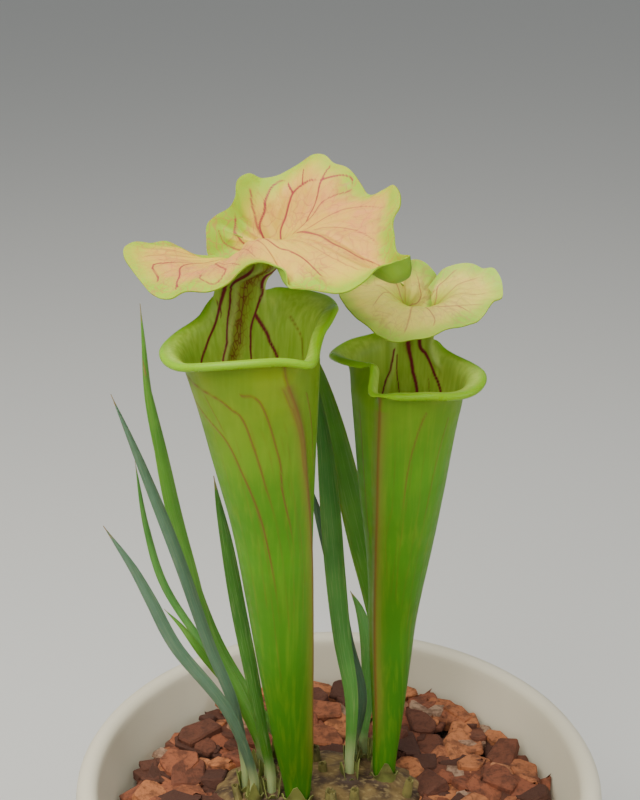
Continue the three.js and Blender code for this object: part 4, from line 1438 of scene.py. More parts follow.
FRONT_HOOD_VEINS = (
    Vein([(0.25, 0.2), (0.12, 0.28), (0.06, 0.34), (0.0, 0.41), (-0.033, 0.5), (-0.025, 0.56),
          (-0.021, 0.6), (0.0, 0.64), (0.04, 0.74), (0.03, 0.9)], 0.9, 0.85),
    Vein([(0.69, 0.05), (0.745, 0.3), (0.738, 0.517), (0.704, 0.633), (0.688, 0.775), (0.662, 0.9),
          (0.633, 0.93), (0.608, 0.875)], 0.76, 0.95),
    Vein([(0.52, 0.05), (0.6, 0.2), (0.625, 0.317), (0.587, 0.433), (0.571, 0.575), (0.558, 0.65),
          (0.521, 0.7), (0.488, 0.767), (0.462, 0.8)], 0.68, 1.0),
    Vein([(0.462, 0.8), (0.442, 0.875), (0.425, 0.925), (0.4, 0.955), (0.379, 0.917)], 0.55, 0.95),
    Vein([(0.562, 0.658), (0.592, 0.792), (0.604, 0.858)], 0.55, 0.95),
    Vein([(0.462, 0.8), (0.446, 0.708), (0.404, 0.542), (0.383, 0.45), (0.329, 0.333)], 0.55, 0.9),
    Vein([(0.462, 0.8), (0.475, 0.9), (0.483, 0.97)], 0.5, 0.8),
    Vein([(0.521, 0.7), (0.538, 0.792), (0.554, 0.883)], 0.5, 0.85),
    Vein([(0.745, 0.5), (0.742, 0.567), (0.729, 0.658), (0.725, 0.742), (0.717, 0.85), (0.717, 0.892)],
         0.9, 0.72),
    Vein([(0.84, 0.05), (0.9, 0.3), (0.912, 0.55), (0.85, 0.74), (0.81, 0.86), (0.792, 0.95)], 0.8, 0.8),
    Vein([(0.93, 0.3), (0.95, 0.6), (0.935, 0.77), (0.904, 0.85), (0.871, 0.9)], 0.7, 0.7),
    Vein([(-0.26, 0.1), (-0.26, 0.35), (-0.233, 0.525), (-0.192, 0.558), (-0.167, 0.6), (-0.158, 0.658),
          (-0.154, 0.717), (-0.138, 0.75)], 0.5, 0.85),
    Vein([(0.1, 0.3), (0.137, 0.517), (0.142, 0.633), (0.125, 0.733), (0.1, 0.8)], 0.5, 0.6),
    Vein([(0.25, 0.1), (0.275, 0.3), (0.28, 0.425), (0.288, 0.542), (0.288, 0.658), (0.238, 0.75),
          (0.204, 0.875)], 0.5, 0.65),
    Vein([(0.3, 0.05), (0.35, 0.3), (0.36, 0.45), (0.392, 0.608), (0.387, 0.733), (0.371, 0.867),
          (0.375, 0.933)], 0.5, 0.75),
    Vein([(-0.05, 0.08), (-0.09, 0.35), (-0.096, 0.55), (-0.09, 0.7), (-0.08, 0.86)], 0.45, 0.5),
    Vein([(-0.32, 0.1), (-0.34, 0.35), (-0.3, 0.6), (-0.27, 0.75), (-0.25, 0.9)], 0.45, 0.6),
    Vein([(-0.637, 0.883), (-0.654, 0.858), (-0.688, 0.85), (-0.704, 0.833), (-0.713, 0.783), (-0.7, 0.6),
          (-0.68, 0.3)], 0.55, 0.95),
    Vein([(-0.6, 0.08), (-0.66, 0.35), (-0.662, 0.6), (-0.6, 0.708), (-0.575, 0.825), (-0.55, 0.892)],
         0.55, 0.95),
    Vein([(-0.575, 0.825), (-0.562, 0.9)], 0.45, 0.8),
    Vein([(-0.45, 0.08), (-0.5, 0.3), (-0.517, 0.5), (-0.463, 0.725), (-0.463, 0.85), (-0.475, 0.917),
          (-0.5, 0.867), (-0.517, 0.817), (-0.521, 0.758), (-0.529, 0.633)], 0.66, 0.75),
    Vein([(-0.517, 0.5), (-0.454, 0.66), (-0.425, 0.8), (-0.41, 0.9)], 0.45, 0.65),
    Vein([(-0.38, 0.1), (-0.41, 0.4), (-0.38, 0.66), (-0.36, 0.86)], 0.45, 0.6),
    Vein([(-0.76, 0.1), (-0.78, 0.4), (-0.77, 0.7), (-0.75, 0.9)], 0.45, 0.6),
    Vein([(-0.84, 0.1), (-0.85, 0.4), (-0.83, 0.62), (-0.81, 0.85)], 0.45, 0.55),
    Vein([(-0.92, 0.1), (-0.92, 0.4), (-0.9, 0.66), (-0.88, 0.88)], 0.45, 0.5),
)

BACK_HOOD_VEINS = (
    Vein([(0.0, 0.04), (0.01, 0.3), (0.03, 0.53), (0.04, 0.76), (0.03, 0.94)], 0.7, 0.6),
    Vein([(0.85, 0.1), (0.9, 0.4), (0.9, 0.63), (0.855, 0.87), (0.825, 0.94)], 0.55, 0.7),
    Vein([(0.2, 0.06), (0.21, 0.43), (0.38, 0.65), (0.4, 0.9)], 0.5, 0.75),
    Vein([(0.38, 0.65), (0.46, 0.8), (0.48, 0.94)], 0.45, 0.6),
    Vein([(0.45, 0.1), (0.52, 0.4), (0.55, 0.65), (0.6, 0.9)], 0.5, 0.6),
    Vein([(0.66, 0.1), (0.7, 0.4), (0.72, 0.65), (0.7, 0.9)], 0.5, 0.6),
    Vein([(-0.55, 0.08), (-0.575, 0.375), (-0.567, 0.72), (-0.588, 0.95)], 0.5, 0.7),
    Vein([(-0.1, 0.08), (-0.2, 0.25), (-0.38, 0.3), (-0.25, 0.5), (-0.15, 0.78)], 0.5, 0.65),
    Vein([(-0.35, 0.1), (-0.4, 0.4), (-0.42, 0.65), (-0.4, 0.9)], 0.5, 0.6),
    Vein([(0.1, 0.08), (0.158, 0.46), (0.19, 0.76), (0.163, 0.91)], 0.5, 0.7),
    Vein([(-0.86, 0.1), (-0.89, 0.4), (-0.89, 0.62), (-0.84, 0.73), (-0.775, 0.9)], 0.5, 0.7),
    Vein([(-0.72, 0.1), (-0.73, 0.4), (-0.7, 0.65), (-0.68, 0.9)], 0.45, 0.55),
)


def over(top: float, points: Stations) -> Stations:
    """Points whose heights are given from the top of the wall."""
    return [(bearing, top + height) for bearing, height in points]


def front_pitcher() -> Pitcher:
    """The taller pitcher, in front on the left."""
    top = 427.0
    return Pitcher(
        name="front_pitcher",
        node="pitcher_front",
        axis=[
            [160, -22, -8, 5.2], [172, -22, -8, 5.8], [184, -22.1, -8.1, 6.9], [205, -24, -9.4, 8.8],
            [240, -26.6, -11, 11.5], [270, -28.5, -12, 14], [303, -30.7, -12, 16.4],
            [344, -33.5, -12, 19.9], [380, -37, -12, 24.7], [409, -39.7, -12, 28.7], [430, -42.2, -12, 32],
        ],
        keel=[
            [160, -20, 0], [180, -20, 0], [200, -20, 1], [240, -21, 1.3], [277, -21, 1.3], [318, -22, 1.3],
            [347, -29, 1.3], [376, -39, 1.4], [401, -45, 1.5], [414, -51, 1.4], [427, -58, 1.2],
        ],
        top=top,
        mouth=(-44, -12, 445),
        neck=Neck(bearing=98, half_angle=20, top_radius=12, top_bearing=21, left_turn=105, right_turn=95,
                  turn_out=0.6, up=(0.1, -0.1, 1), drop=9),
        lip=[
            [98, 33, 9, 2, 0], [88, 33.6, 8.8, 2, 0], [78, 35, 7.2, 5, 0], [70, 39.5, 5.9, 25, 60],
            [60, 43, 5.8, 55, 110], [48, 45.5, 5.8, 70, 120], [35, 45.5, 6.2, 75, 120],
            [22, 43.5, 6, 75, 120], [10, 40.5, 6.5, 75, 110], [0, 37.5, 4.2, 75, 110],
            [-10, 35.2, 2, 75, 120], [-20, 34.8, -1, 70, 130], [-30, 36.5, -3.5, 70, 150],
            [-38, 39.5, -4.8, 80, 170], [-45, 41.5, -5.2, 85, 180], [-52, 39, -4, 85, 190],
            [-62, 36.5, -2.8, 85, 195], [-75, 36, -2.2, 85, 200], [-90, 36, -2.4, 85, 200],
            [-105, 36.5, -3.4, 85, 200], [-122, 37.5, -5.4, 85, 200], [-140, 39, -8, 85, 200],
            [-155, 39.3, -8.8, 85, 190], [-170, 39, -8.8, 85, 170], [-185, 38.3, -9.2, 80, 150],
            [-198, 37, -8.4, 75, 140], [-210, 36, -7.2, 70, 130], [-220, 34.8, -5.8, 60, 120],
            [-230, 34.4, -3.2, 40, 100], [-237, 35.2, 0.8, 20, 60], [-242, 36.5, 5, 8, 0],
            [-252, 34.5, 8, 3, 0],
        ],
        centre=(-38, 20, 474),
        left=[
            [67, -73, 20.5, 88, 14, 10], [61.5, -76.5, 18.8, 90, 14, 11], [58, -79, 17.8, 85, 14, 7],
            [55.5, -80.5, 17.2, 50, 14, 5], [53, -82, 16.6, 20, 14, 5], [48.5, -84.5, 12.5, 8, 14, 7],
            [42, -87, 8.5, 5, 13.5, 8], [29, -76, 3.6, 0, 13.5, 8], [20, -71, 3.2, 0, 13, 7],
            [14.6, -67, 2.6, 0, 12.5, 6], [12.4, -60, 8.4, 5, 12, 5], [8, -56, 8.8, 5, 11, 6],
            [3.3, -52, 8.8, 5, 9, 8], [-2.8, -47, 6.7, 0, 6.5, 9], [-8, -46, 2.3, -10, 3.5, 9],
            [-13, -49, -2.2, -20, 1, 9], [-21, -51, -5.2, -25, -1, 9], [-34, -48, -6.6, -20, -2, 9],
            [-38, -47.5, -9.4, -28, -3, 9], [-42, -45, -10.8, -30, -3.5, 9], [-49, -37, -11, -30, -4.5, 9],
            [-54, -27, -9.6, -22, -5, 9], [-60, -17, -6.2, -10, -5, 9], [-65, -7, -2.6, 0, -5.5, 9],
            [-65.5, 2, -0.6, 5, -5.5, 9], [-61, 8, 0, 8, -6, 9], [-55, 11, -2, 0, -8, 9],
            [-47, 16, -2, 15, -11, 9], [-41, 15.5, -4.2, 20, -13.5, 9], [-32, 15, -8.5, 15, -14, 8],
            [-27, 18, -10, 10, -13.5, 7], [-23, 20, -10.5, 5, -12, 6],
        ],
        right=[
            [67, -73, 20.5, 88, 14, 10], [62, -67, 18.3, 70, 14.5, 9], [60.5, -57, 23.3, 50, 14.5, 9],
            [61, -45, 28, 45, 14.5, 9], [63.8, -38, 30, 35, 14, 9], [64, -27, 35, 40, 13.5, 9],
            [62, -22, 36.5, 45, 13, 9], [57, -16, 32, 30, 13, 9], [51, -10, 28.5, 20, 13, 9],
            [47.5, -5, 32.5, 30, 12.5, 9], [41, 8, 37, 32, 12, 9], [35, 14, 37.7, 35, 11.5, 9],
            [31, 19, 40, 38, 11, 9], [26.5, 23, 39.5, 40, 10.5, 9], [17, 26, 33, 38, 9, 9],
            [4.5, 26.5, 27.5, 40, 6, 9], [-1, 26, 27, 45, 4, 9], [-6.5, 25, 30, 60, 2, 9],
            [-11.5, 24, 28, 70, 0, 9], [-13, 24, 19, 70, -3, 9], [-16, 24.5, 13.5, 60, -4, 9],
            [-23.5, 25.5, 8.7, 40, -3, 9], [-27.5, 26, 4.5, 10, -3.5, 9], [-28, 25, -3, -20, -5, 8],
            [-27, 24, -12, -30, -7, 8], [-22, 20, -13.5, -15, -9, 7], [-17, 17, -12, 0, -9.5, 5],
        ],
        hood_veins=FRONT_HOOD_VEINS,
        throat_veins=(
            Vein(over(top, [(108, 23.4), (109, 16.8), (110.5, 12), (117.5, 9), (125, 6.6), (135, 1.4),
                            (149, -6), (158, -16)]), 0.95, 1.0),
            Vein(over(top, [(101.5, 23.4), (102.5, 18), (103.5, 15), (108.5, 8), (114, 1.4), (123, -8),
                            (131, -22)]), 0.6, 0.95),
            Vein(over(top, [(84, 23.4), (83, 19.2), (80.5, 13.2), (80, 10.8), (84, 7), (90, 3.5),
                            (93.5, 0), (95.5, -9), (97, -26)]), 0.65, 1.0),
            Vein(over(top, [(85, 5.5), (80, 2.5), (77, 0.5), (70.5, -7), (62, -22)]), 1.0, 0.95),
            Vein(over(top, [(57, 5.5), (49.5, 3.5), (43.5, 2), (41.5, 0), (39, -10)]), 1.15, 0.5),
            Vein(over(top, [(118, 11), (117, 7.4), (119, 6)]), 0.45, 0.7),
            Vein(over(top, [(93, 22.8), (92, 15.6), (96, 9), (101, 2.4), (107, -6)]), 0.4, 0.6),
        ),
        folds=(
            Fold(over(top, [(99, 22.8), (101, 17.4), (103, 9.6), (110.5, 2), (121, -9),
                            (128, -22)]), 1.5, 1.3),
            Fold(over(top, [(81, 22.8), (79.5, 13.2), (79, 8.4)]), 1.6, 0.8),
            Fold([(-58, 196), (-58, 300), (-58, 380), (-58, top + 9)], 1.3, -1.0),
        ),
        hood_folds=(
            Fold([(0.25, 0.2), (0.12, 0.28), (0.06, 0.34), (0.0, 0.41), (-0.033, 0.5), (-0.025, 0.56),
                  (-0.021, 0.6), (0.0, 0.64), (0.04, 0.74)], 2.6, 1.6),
            Fold([(-0.5, 0.3), (-0.5, 0.6), (-0.49, 0.8)], 3.0, 1.0),
        ),
        stain_line=over(top, [(93, 21.6), (93, 12.6), (99, 8.5), (104, 2), (111, -4), (118, -16)]),
        stain_width=5.2,
        tube_veins=(
            Vein([(-175, 417), (-155, 411), (-130, 400), (-120, 382), (-114.5, 363), (-113, 340),
                  (-111, 300)], 0.62, 1.0),
            Vein([(-170, 427), (-152, 425), (-123, 421), (-112, 416), (-106, 412), (-104, 396),
                  (-101.5, 380), (-99, 350)], 0.62, 1.0),
            Vein([(-98, 424), (-86, 421), (-85.5, 399), (-84, 385), (-86.5, 369), (-85, 335)], 0.55, 0.95),
            Vein([(-136, 420), (-133, 414), (-127, 401)], 0.45, 0.6),
            Vein([(-40, 420), (-38, 395), (-33, 370)], 0.5, 0.7),
            Vein([(-58, top + 9.6), (-58, 380), (-58, 300), (-58, 240), (-58, 196)], 0.75, 0.8),
            Vein([(-62, 426), (-61, 400), (-60, 375)], 0.45, 0.6),
        ),
        flushes=(Patch(0.4, 0.7, 0.22, 0.4, 1.0), Patch(-0.6, 0.72, 0.24, 0.35, 0.95),
                 Patch(0.0, 0.45, 0.2, 0.3, 0.45), Patch(0.68, 0.6, 0.14, 0.4, 0.35),
                 Patch(-0.3, 0.6, 0.2, 0.3, 0.45), Patch(0.15, 0.8, 0.15, 0.3, 0.6)),
        greens=(Patch(0.75, 0.75, 0.1, 0.35, 0.34), Patch(0.87, 0.7, 0.08, 0.4, 0.3),
                Patch(-0.2, 0.9, 0.12, 0.22, 0.34), Patch(0.05, 0.88, 0.1, 0.14, 0.2)),
        seed=5,
    )


def back_pitcher() -> Pitcher:
    """The shorter pitcher, behind on the right."""
    top = 394.0
    return Pitcher(
        name="back_pitcher",
        node="pitcher_back",
        axis=[
            [160, 25, 12, 4.8], [172, 25, 12, 5.2], [184, 25.1, 12.6, 6], [200, 26.2, 16, 7.1],
            [225, 27.4, 23, 9.4], [245, 28, 27.5, 11.2], [261, 28.7, 30, 12.3], [282, 30.1, 30, 14],
            [304, 31.3, 30, 16.6], [342, 32.1, 30, 21.7], [378, 33.3, 32, 25.9], [393, 34, 33, 27.9],
            [400, 34, 33, 28.6],
        ],
        keel=[
            [160, -128, 0], [180, -128, 0], [200, -128, 1], [250, -131, 1.3], [280, -135, 1.3],
            [315, -130, 1.4], [335, -125, 1.5], [353, -123, 1.6], [380, -121, 1.6], [394, -120, 1.4],
        ],
        top=top,
        mouth=(34, 33, 409),
        neck=Neck(bearing=83.5, half_angle=22, top_radius=7.5, top_bearing=-12, left_turn=135,
                  right_turn=125, turn_out=0.9, up=(0, -0.05, 1), drop=8),
        lip=[
            [83.5, 29, 8, 2, 0], [72, 29.6, 7, 4, 0], [61.5, 31, 3.5, 10, 0], [54, 31.5, -1.2, 35, 90],
            [44, 31.8, -3, 55, 110], [32, 32.5, -3.6, 65, 120], [20, 34, -3.8, 70, 130],
            [8, 35.4, -3.4, 75, 140], [-5, 36.8, -2.4, 80, 150], [-17, 38.2, -2.2, 85, 170],
            [-30, 39, -2.8, 85, 190], [-45, 39, -3, 85, 200], [-60, 38, -2.2, 85, 200],
            [-75, 36, -1.2, 85, 200], [-90, 33, -2.2, 85, 200], [-104, 32, -3, 85, 130],
            [-114, 36, -2.8, 85, 50], [-120, 39.5, -1.6, 85, 40], [-123.5, 36, 0.2, 80, 40],
            [-127, 31, 3.8, 75, 50], [-133, 26.6, 6.8, 70, 70], [-143, 26, 6.8, 70, 130],
            [-155, 28.6, 6.4, 70, 150], [-168, 33.2, 6.2, 75, 150], [-180, 36.6, 5.6, 80, 150],
            [-192, 38, 3.6, 80, 150], [-205, 37.4, 3.4, 75, 130], [-220, 35.5, 4.4, 70, 120],
            [-235, 33, 4.8, 55, 110], [-247, 31, 5.5, 25, 60], [-254.5, 29.5, 6.5, 5, 0],
            [-265, 29, 7.5, 2, 0],
        ],
        centre=(40, 61, 433),
        left=[
            [-15, -44, -6, -20, 1, 8], [-22, -43.5, -2.8, -15, 1.5, 8], [-27, -41, 0.8, -5, 2.5, 8],
            [-33, -36, 3.6, 0, 3.5, 8], [-37, -28, 6, 5, 4.5, 8], [-41, -16, 9.6, 10, 5.5, 8],
            [-40, -7, 11.3, 15, 6, 8], [-36, -1, 12, 20, 6, 8], [-30, 3, 11.7, 20, 5.5, 6],
            [-23, 6, 12.5, 25, 5, 5], [-18, 9, 14, 35, 4.5, 5], [-12, 13, 7.5, 10, 2.5, 5],
            [-6, 21, 14, 50, 1, 8], [1, 25, 14.3, 55, 0, 8], [5, 25, 12.7, 50, -1, 8],
            [9, 24.5, 9, 40, -4, 8], [13, 24, 3, 20, -7.5, 7], [16, 22, -4, 0, -8.5, 6],
            [15, 19.5, -9, 0, -9.5, 6],
        ],
        right=[
            [-15, -44, -6, -20, 1, 8], [-6, -41, -6.5, -25, 0.5, 8], [4, -36, -6.8, -25, 0.5, 8],
            [12, -32, -4.6, -18, 1, 8], [22, -26, -4.7, -18, 1, 8], [29, -21, -4.2, -15, 1.5, 8],
            [33, -16, -2, -10, 2, 8], [39, -7, 2.3, 5, 3, 8], [43, -3, 2.5, 0, 3.5, 8],
            [44, 3, 5.3, 10, 4, 8], [43, 10, 10, 25, 4.5, 8], [40, 15, 12.8, 30, 4.5, 8],
            [35, 16.5, 11.8, 20, 4.5, 8], [30, 19, 13.5, 30, 4, 8], [25, 21, 13.4, 35, 3.5, 8],
            [19, 22, 11.7, 35, 2.5, 8], [14, 21.5, 9.5, 30, 1, 7], [10.5, 20, 5.5, 15, -1, 6],
            [6.5, 18, 1, 0, -3, 5],
        ],
        hood_veins=BACK_HOOD_VEINS,
        throat_veins=(
            Vein(over(top, [(86, 23.4), (87.5, 14.4), (87, 8), (82, 1.4), (75, -9), (69, -26)]), 1.15, 1.0),
            Vein(over(top, [(77, 22.8), (73.5, 9), (66, 6), (60, 2.5), (46, -7), (38, -18)]), 1.0, 1.0),
            Vein(over(top, [(103, 7.2), (105.5, 1.4), (110, -3), (114, -9), (120, -22)]), 0.6, 0.8),
            Vein(over(top, [(99, 4.8), (98, -2), (95, -10), (92, -24)]), 0.5, 0.7),
            Vein(over(top, [(63, -2), (60, -10), (57, -20)]), 0.4, 0.5),
        ),
        folds=(
            Fold(over(top, [(104, 22.8), (104.5, 10.8), (104.5, 1.2), (110, -9), (116, -20)]),
                 1.7, 1.4),
            Fold(over(top, [(64, 22.8), (63, 14.4), (62.5, 10.6), (57.5, 7.2), (46, 2.4)]),
                 1.7, 1.2),
            Fold([(-120, 196), (-120, 300), (-120, 360), (-120, top + 8)], 1.3, -0.9),
        ),
        hood_folds=(
            Fold([(0.05, 0.3), (0.04, 0.6), (0.03, 0.8)], 3.0, 1.2),
        ),
        stain_line=over(top, [(90, 21.6), (88, 12), (86, 4.8)]),
        stain_width=2.4,
        tube_veins=(
            Vein([(-120, top + 7.2), (-120, 360), (-120, 300), (-120, 240), (-120, 196)], 0.75, 0.8),
            Vein([(-74, 394), (-77, 390), (-81.5, 379), (-86, 362), (-88, 335)], 0.5, 0.7),
            Vein([(-45, 388), (-52, 360), (-56, 330)], 0.45, 0.5),
            Vein([(-150, 390), (-146, 350), (-142, 310)], 0.45, 0.6),
        ),
        flushes=(Patch(0.25, 0.65, 0.3, 0.3, 0.45), Patch(-0.3, 0.6, 0.3, 0.3, 0.3),
                 Patch(0.75, 0.65, 0.25, 0.35, 0.5), Patch(-0.75, 0.7, 0.2, 0.3, 0.35)),
        greens=(),
        seed=9,
        hood_columns=400,
        hood_rows=42,
        funnel_reach=0.32,
        skin=PitcherSkin("paler_pitcher_skin", hood_heart=0xE6DA5C, hood_blush=0xE6AC70, hood_soft=0xD2CE4C,
                         hood_margin=0xA2C83A, hood_vein=0xAA6450, hood_net=0xBC9660, funnel=0x9CB81C),
    )


@dataclass
class SwordLeaf:
    """A narrow upright leaf that rises out of the crown and follows its points.

    It is widest where the swell ends, and narrows from where the taper starts.
    """

    node: str
    root: tuple[float, float]
    width: float
    turn: tuple[float, float]
    skin: LeafSkin
    slot: str
    way: Stations
    root_width: float = 5.0
    root_thickness: float = 3.2
    thickness: float = 1.3
    edge: float = 0.5
    straight_top: float = 181.0
    swell_end: float = 0.55
    taper_start: float = 0.6
    flat_start: float = 0.3
    gutter_depth: float = 0.11
    ripple_depth: float = 0.05
    sides: int = 24
    steps: int = 72

    def path(self) -> Array:
        """Points along the leaf's middle, evenly spaced from the root's top to the tip."""
        x, y = self.root
        knots = np.array([[x, y, self.straight_top], [x, y, self.straight_top + 6], *self.way], float)
        gaps = np.sqrt(np.linalg.norm(np.diff(knots, axis=0), axis=1))
        track = Track(np.column_stack([np.concatenate([[0], np.cumsum(gaps)]), knots]))
        fine = track.at(np.linspace(track.place[0], track.place[-1], 400))
        run = np.concatenate([[0], np.cumsum(np.linalg.norm(np.diff(fine, axis=0), axis=1))])
        return between(np.linspace(0, run[-1], self.steps + 1), run, fine)

    def build(self) -> Object:
        """Shapes the blade: a straight root, a swelling, a shallow gutter and a pointed tip."""
        piece = ringed_tube(f"{self.node}_blade", self.sides, self.steps)
        places = coordinates(piece.data)
        ring = np.rint(places[:, 2] * (self.steps + 1)).astype(int)
        angle = np.arctan2(places[:, 1], places[:, 0])
        x, y = self.root
        centres = np.concatenate([[[x, y, STEM_FOOT]], self.path()])
        shares = np.concatenate([[0], np.linspace(0, 1, self.steps + 1)])
        along = unit(np.gradient(centres, axis=0))
        along[:2] = (0, 0, 1)
        side = bearing_vector(self.turn[0] + (self.turn[1] - self.turn[0]) * shares)
        side = unit(side - np.sum(side * along, -1, keepdims=True) * along)
        normal = np.cross(along, side)
        swell = np.sin(np.pi * np.minimum(1, shares / self.swell_end) / 2) ** 1.5
        narrowing = np.maximum(0, (shares - self.taper_start) / (1 - self.taper_start)) ** 2.2
        taper = np.maximum(0.06, 1 - narrowing)
        half = (self.root_width + (self.width - self.root_width) * swell) * taper / 2
        flat = np.minimum(1, shares / self.flat_start)
        thick = (self.root_thickness + (self.thickness - self.root_thickness) * flat) / 2 * np.sqrt(taper)
        across = np.cos(angle)
        thin = self.edge / self.thickness
        profile = np.sin(angle) * (thin + (1 - thin) * (1 - across ** 2))
        gutter = self.gutter_depth * half[ring] * flat[ring] * (across ** 2 - 0.5)
        waves = np.sin(shares[ring] * 19 + self.width) * across ** 3
        ripple = self.ripple_depth * half[ring] * flat[ring] * waves
        lift = thick[ring] * profile + gutter + ripple
        points = centres[ring] + side[ring] * (half[ring] * across)[:, None] + normal[ring] * lift[:, None]
        put(piece.data, points * MM)
        carry(piece.data, "across", across)
        carry(piece.data, "along", shares[ring])
        smooth(piece, 60)
        dress(piece, self.skin.material(), self.slot, self.node)
        return piece


GREEN = LeafSkin("leaf_green", 0x4A881C, 0x64A02A)
FRESH = LeafSkin("leaf_fresh", 0x2C620C, 0x437A16)
DEEP = LeafSkin("leaf_deep", 0x40802A, 0x5A9638)
BRIGHT = LeafSkin("leaf_bright", 0x478618, 0x669E28)
BLUE = LeafSkin("leaf_blue", 0x32603A, 0x4A744E, bloom=0.16)


def sword_leaves() -> list[SwordLeaf]:
    """The fan of leaves behind the tubes and on the left."""
    return [
        SwordLeaf("leaf_broad_behind_tubes", (22, 27), 14, (8, 20), GREEN, "leafGreen",
                  [[29, 34, 209], [20, 50, 263], [12, 53, 299], [3, 55, 340], [-5, 57, 374],
                   [-11, 59, 396], [-17, 61, 412]]),
        SwordLeaf("leaf_dark_behind_tubes", (6, 9), 11, (0, 15), DEEP, "leafDeep",
                  [[7, 14, 223], [2, 22, 255], [-2, 30, 293], [-5, 36, 332], [-8, 42, 363],
                   [-11, 47, 384], [-14, 51, 399]]),
        SwordLeaf("leaf_blue_behind_tubes", (8, 22), 7, (10, 30), BLUE, "leafBlue",
                  [[13, 28, 214], [5, 39, 245], [-1, 45, 276], [-8, 50, 304], [-13, 54, 322],
                   [-19, 59, 338]]),
        SwordLeaf("leaf_short_behind_tubes", (14, 31), 8, (-10, 10), DEEP, "leafDeep",
                  [[17, 44, 209], [16, 56, 236], [12, 63, 250], [7, 67, 259]]),
        SwordLeaf("leaf_tall_left", (-38, 8), 9, (20, 40), GREEN, "leafGreen",
                  [[-53, 12, 227], [-69, 24, 254], [-81, 36, 296], [-88, 42, 326], [-95, 47, 367],
                   [-98, 50, 385], [-101, 52, 404]]),
        SwordLeaf("leaf_narrow_left", (-28, 19), 6, (10, 30), GREEN, "leafGreen",
                  [[-46, 22, 216], [-66, 36, 246], [-82, 48, 289], [-92, 56, 334], [-100, 62, 377],
                   [-102, 66, 410], [-103, 68, 429]]),
        SwordLeaf("leaf_bright_short", (-36, -5), 8, (0, 20), FRESH, "leafBright",
                  [[-41, -3, 218], [-46, 2, 248], [-52, 9, 280], [-58, 15, 318], [-62, 19, 340],
                   [-64, 21, 353]]),
        SwordLeaf("leaf_blue_left", (-50, 2), 6.5, (10, 30), BLUE, "leafBlue",
                  [[-56, 3, 228], [-68, 8, 261], [-82, 10, 310], [-93, 12, 344], [-104, 14, 376],
                   [-113, 16, 400]]),
        SwordLeaf("leaf_blue_low_left", (-45, -8), 6.5, (0, 25), BLUE, "leafBlue",
                  [[-58, -15, 236], [-83, -18, 277], [-94, -20, 305], [-102, -20, 323], [-115, -20, 346]]),
        SwordLeaf("leaf_young_left", (-43, 21), 5, (15, 35), BRIGHT, "leafBright",
                  [[-56, 20, 222], [-75, 19, 252], [-84, 22, 264], [-93, 26, 272]]),
        SwordLeaf("leaf_thin_left", (-33, 30), 4.5, (10, 30), DEEP, "leafDeep",
                  [[-52, 34, 208], [-74, 46, 236], [-96, 58, 268], [-105, 64, 300], [-110, 68, 339]]),
    ]


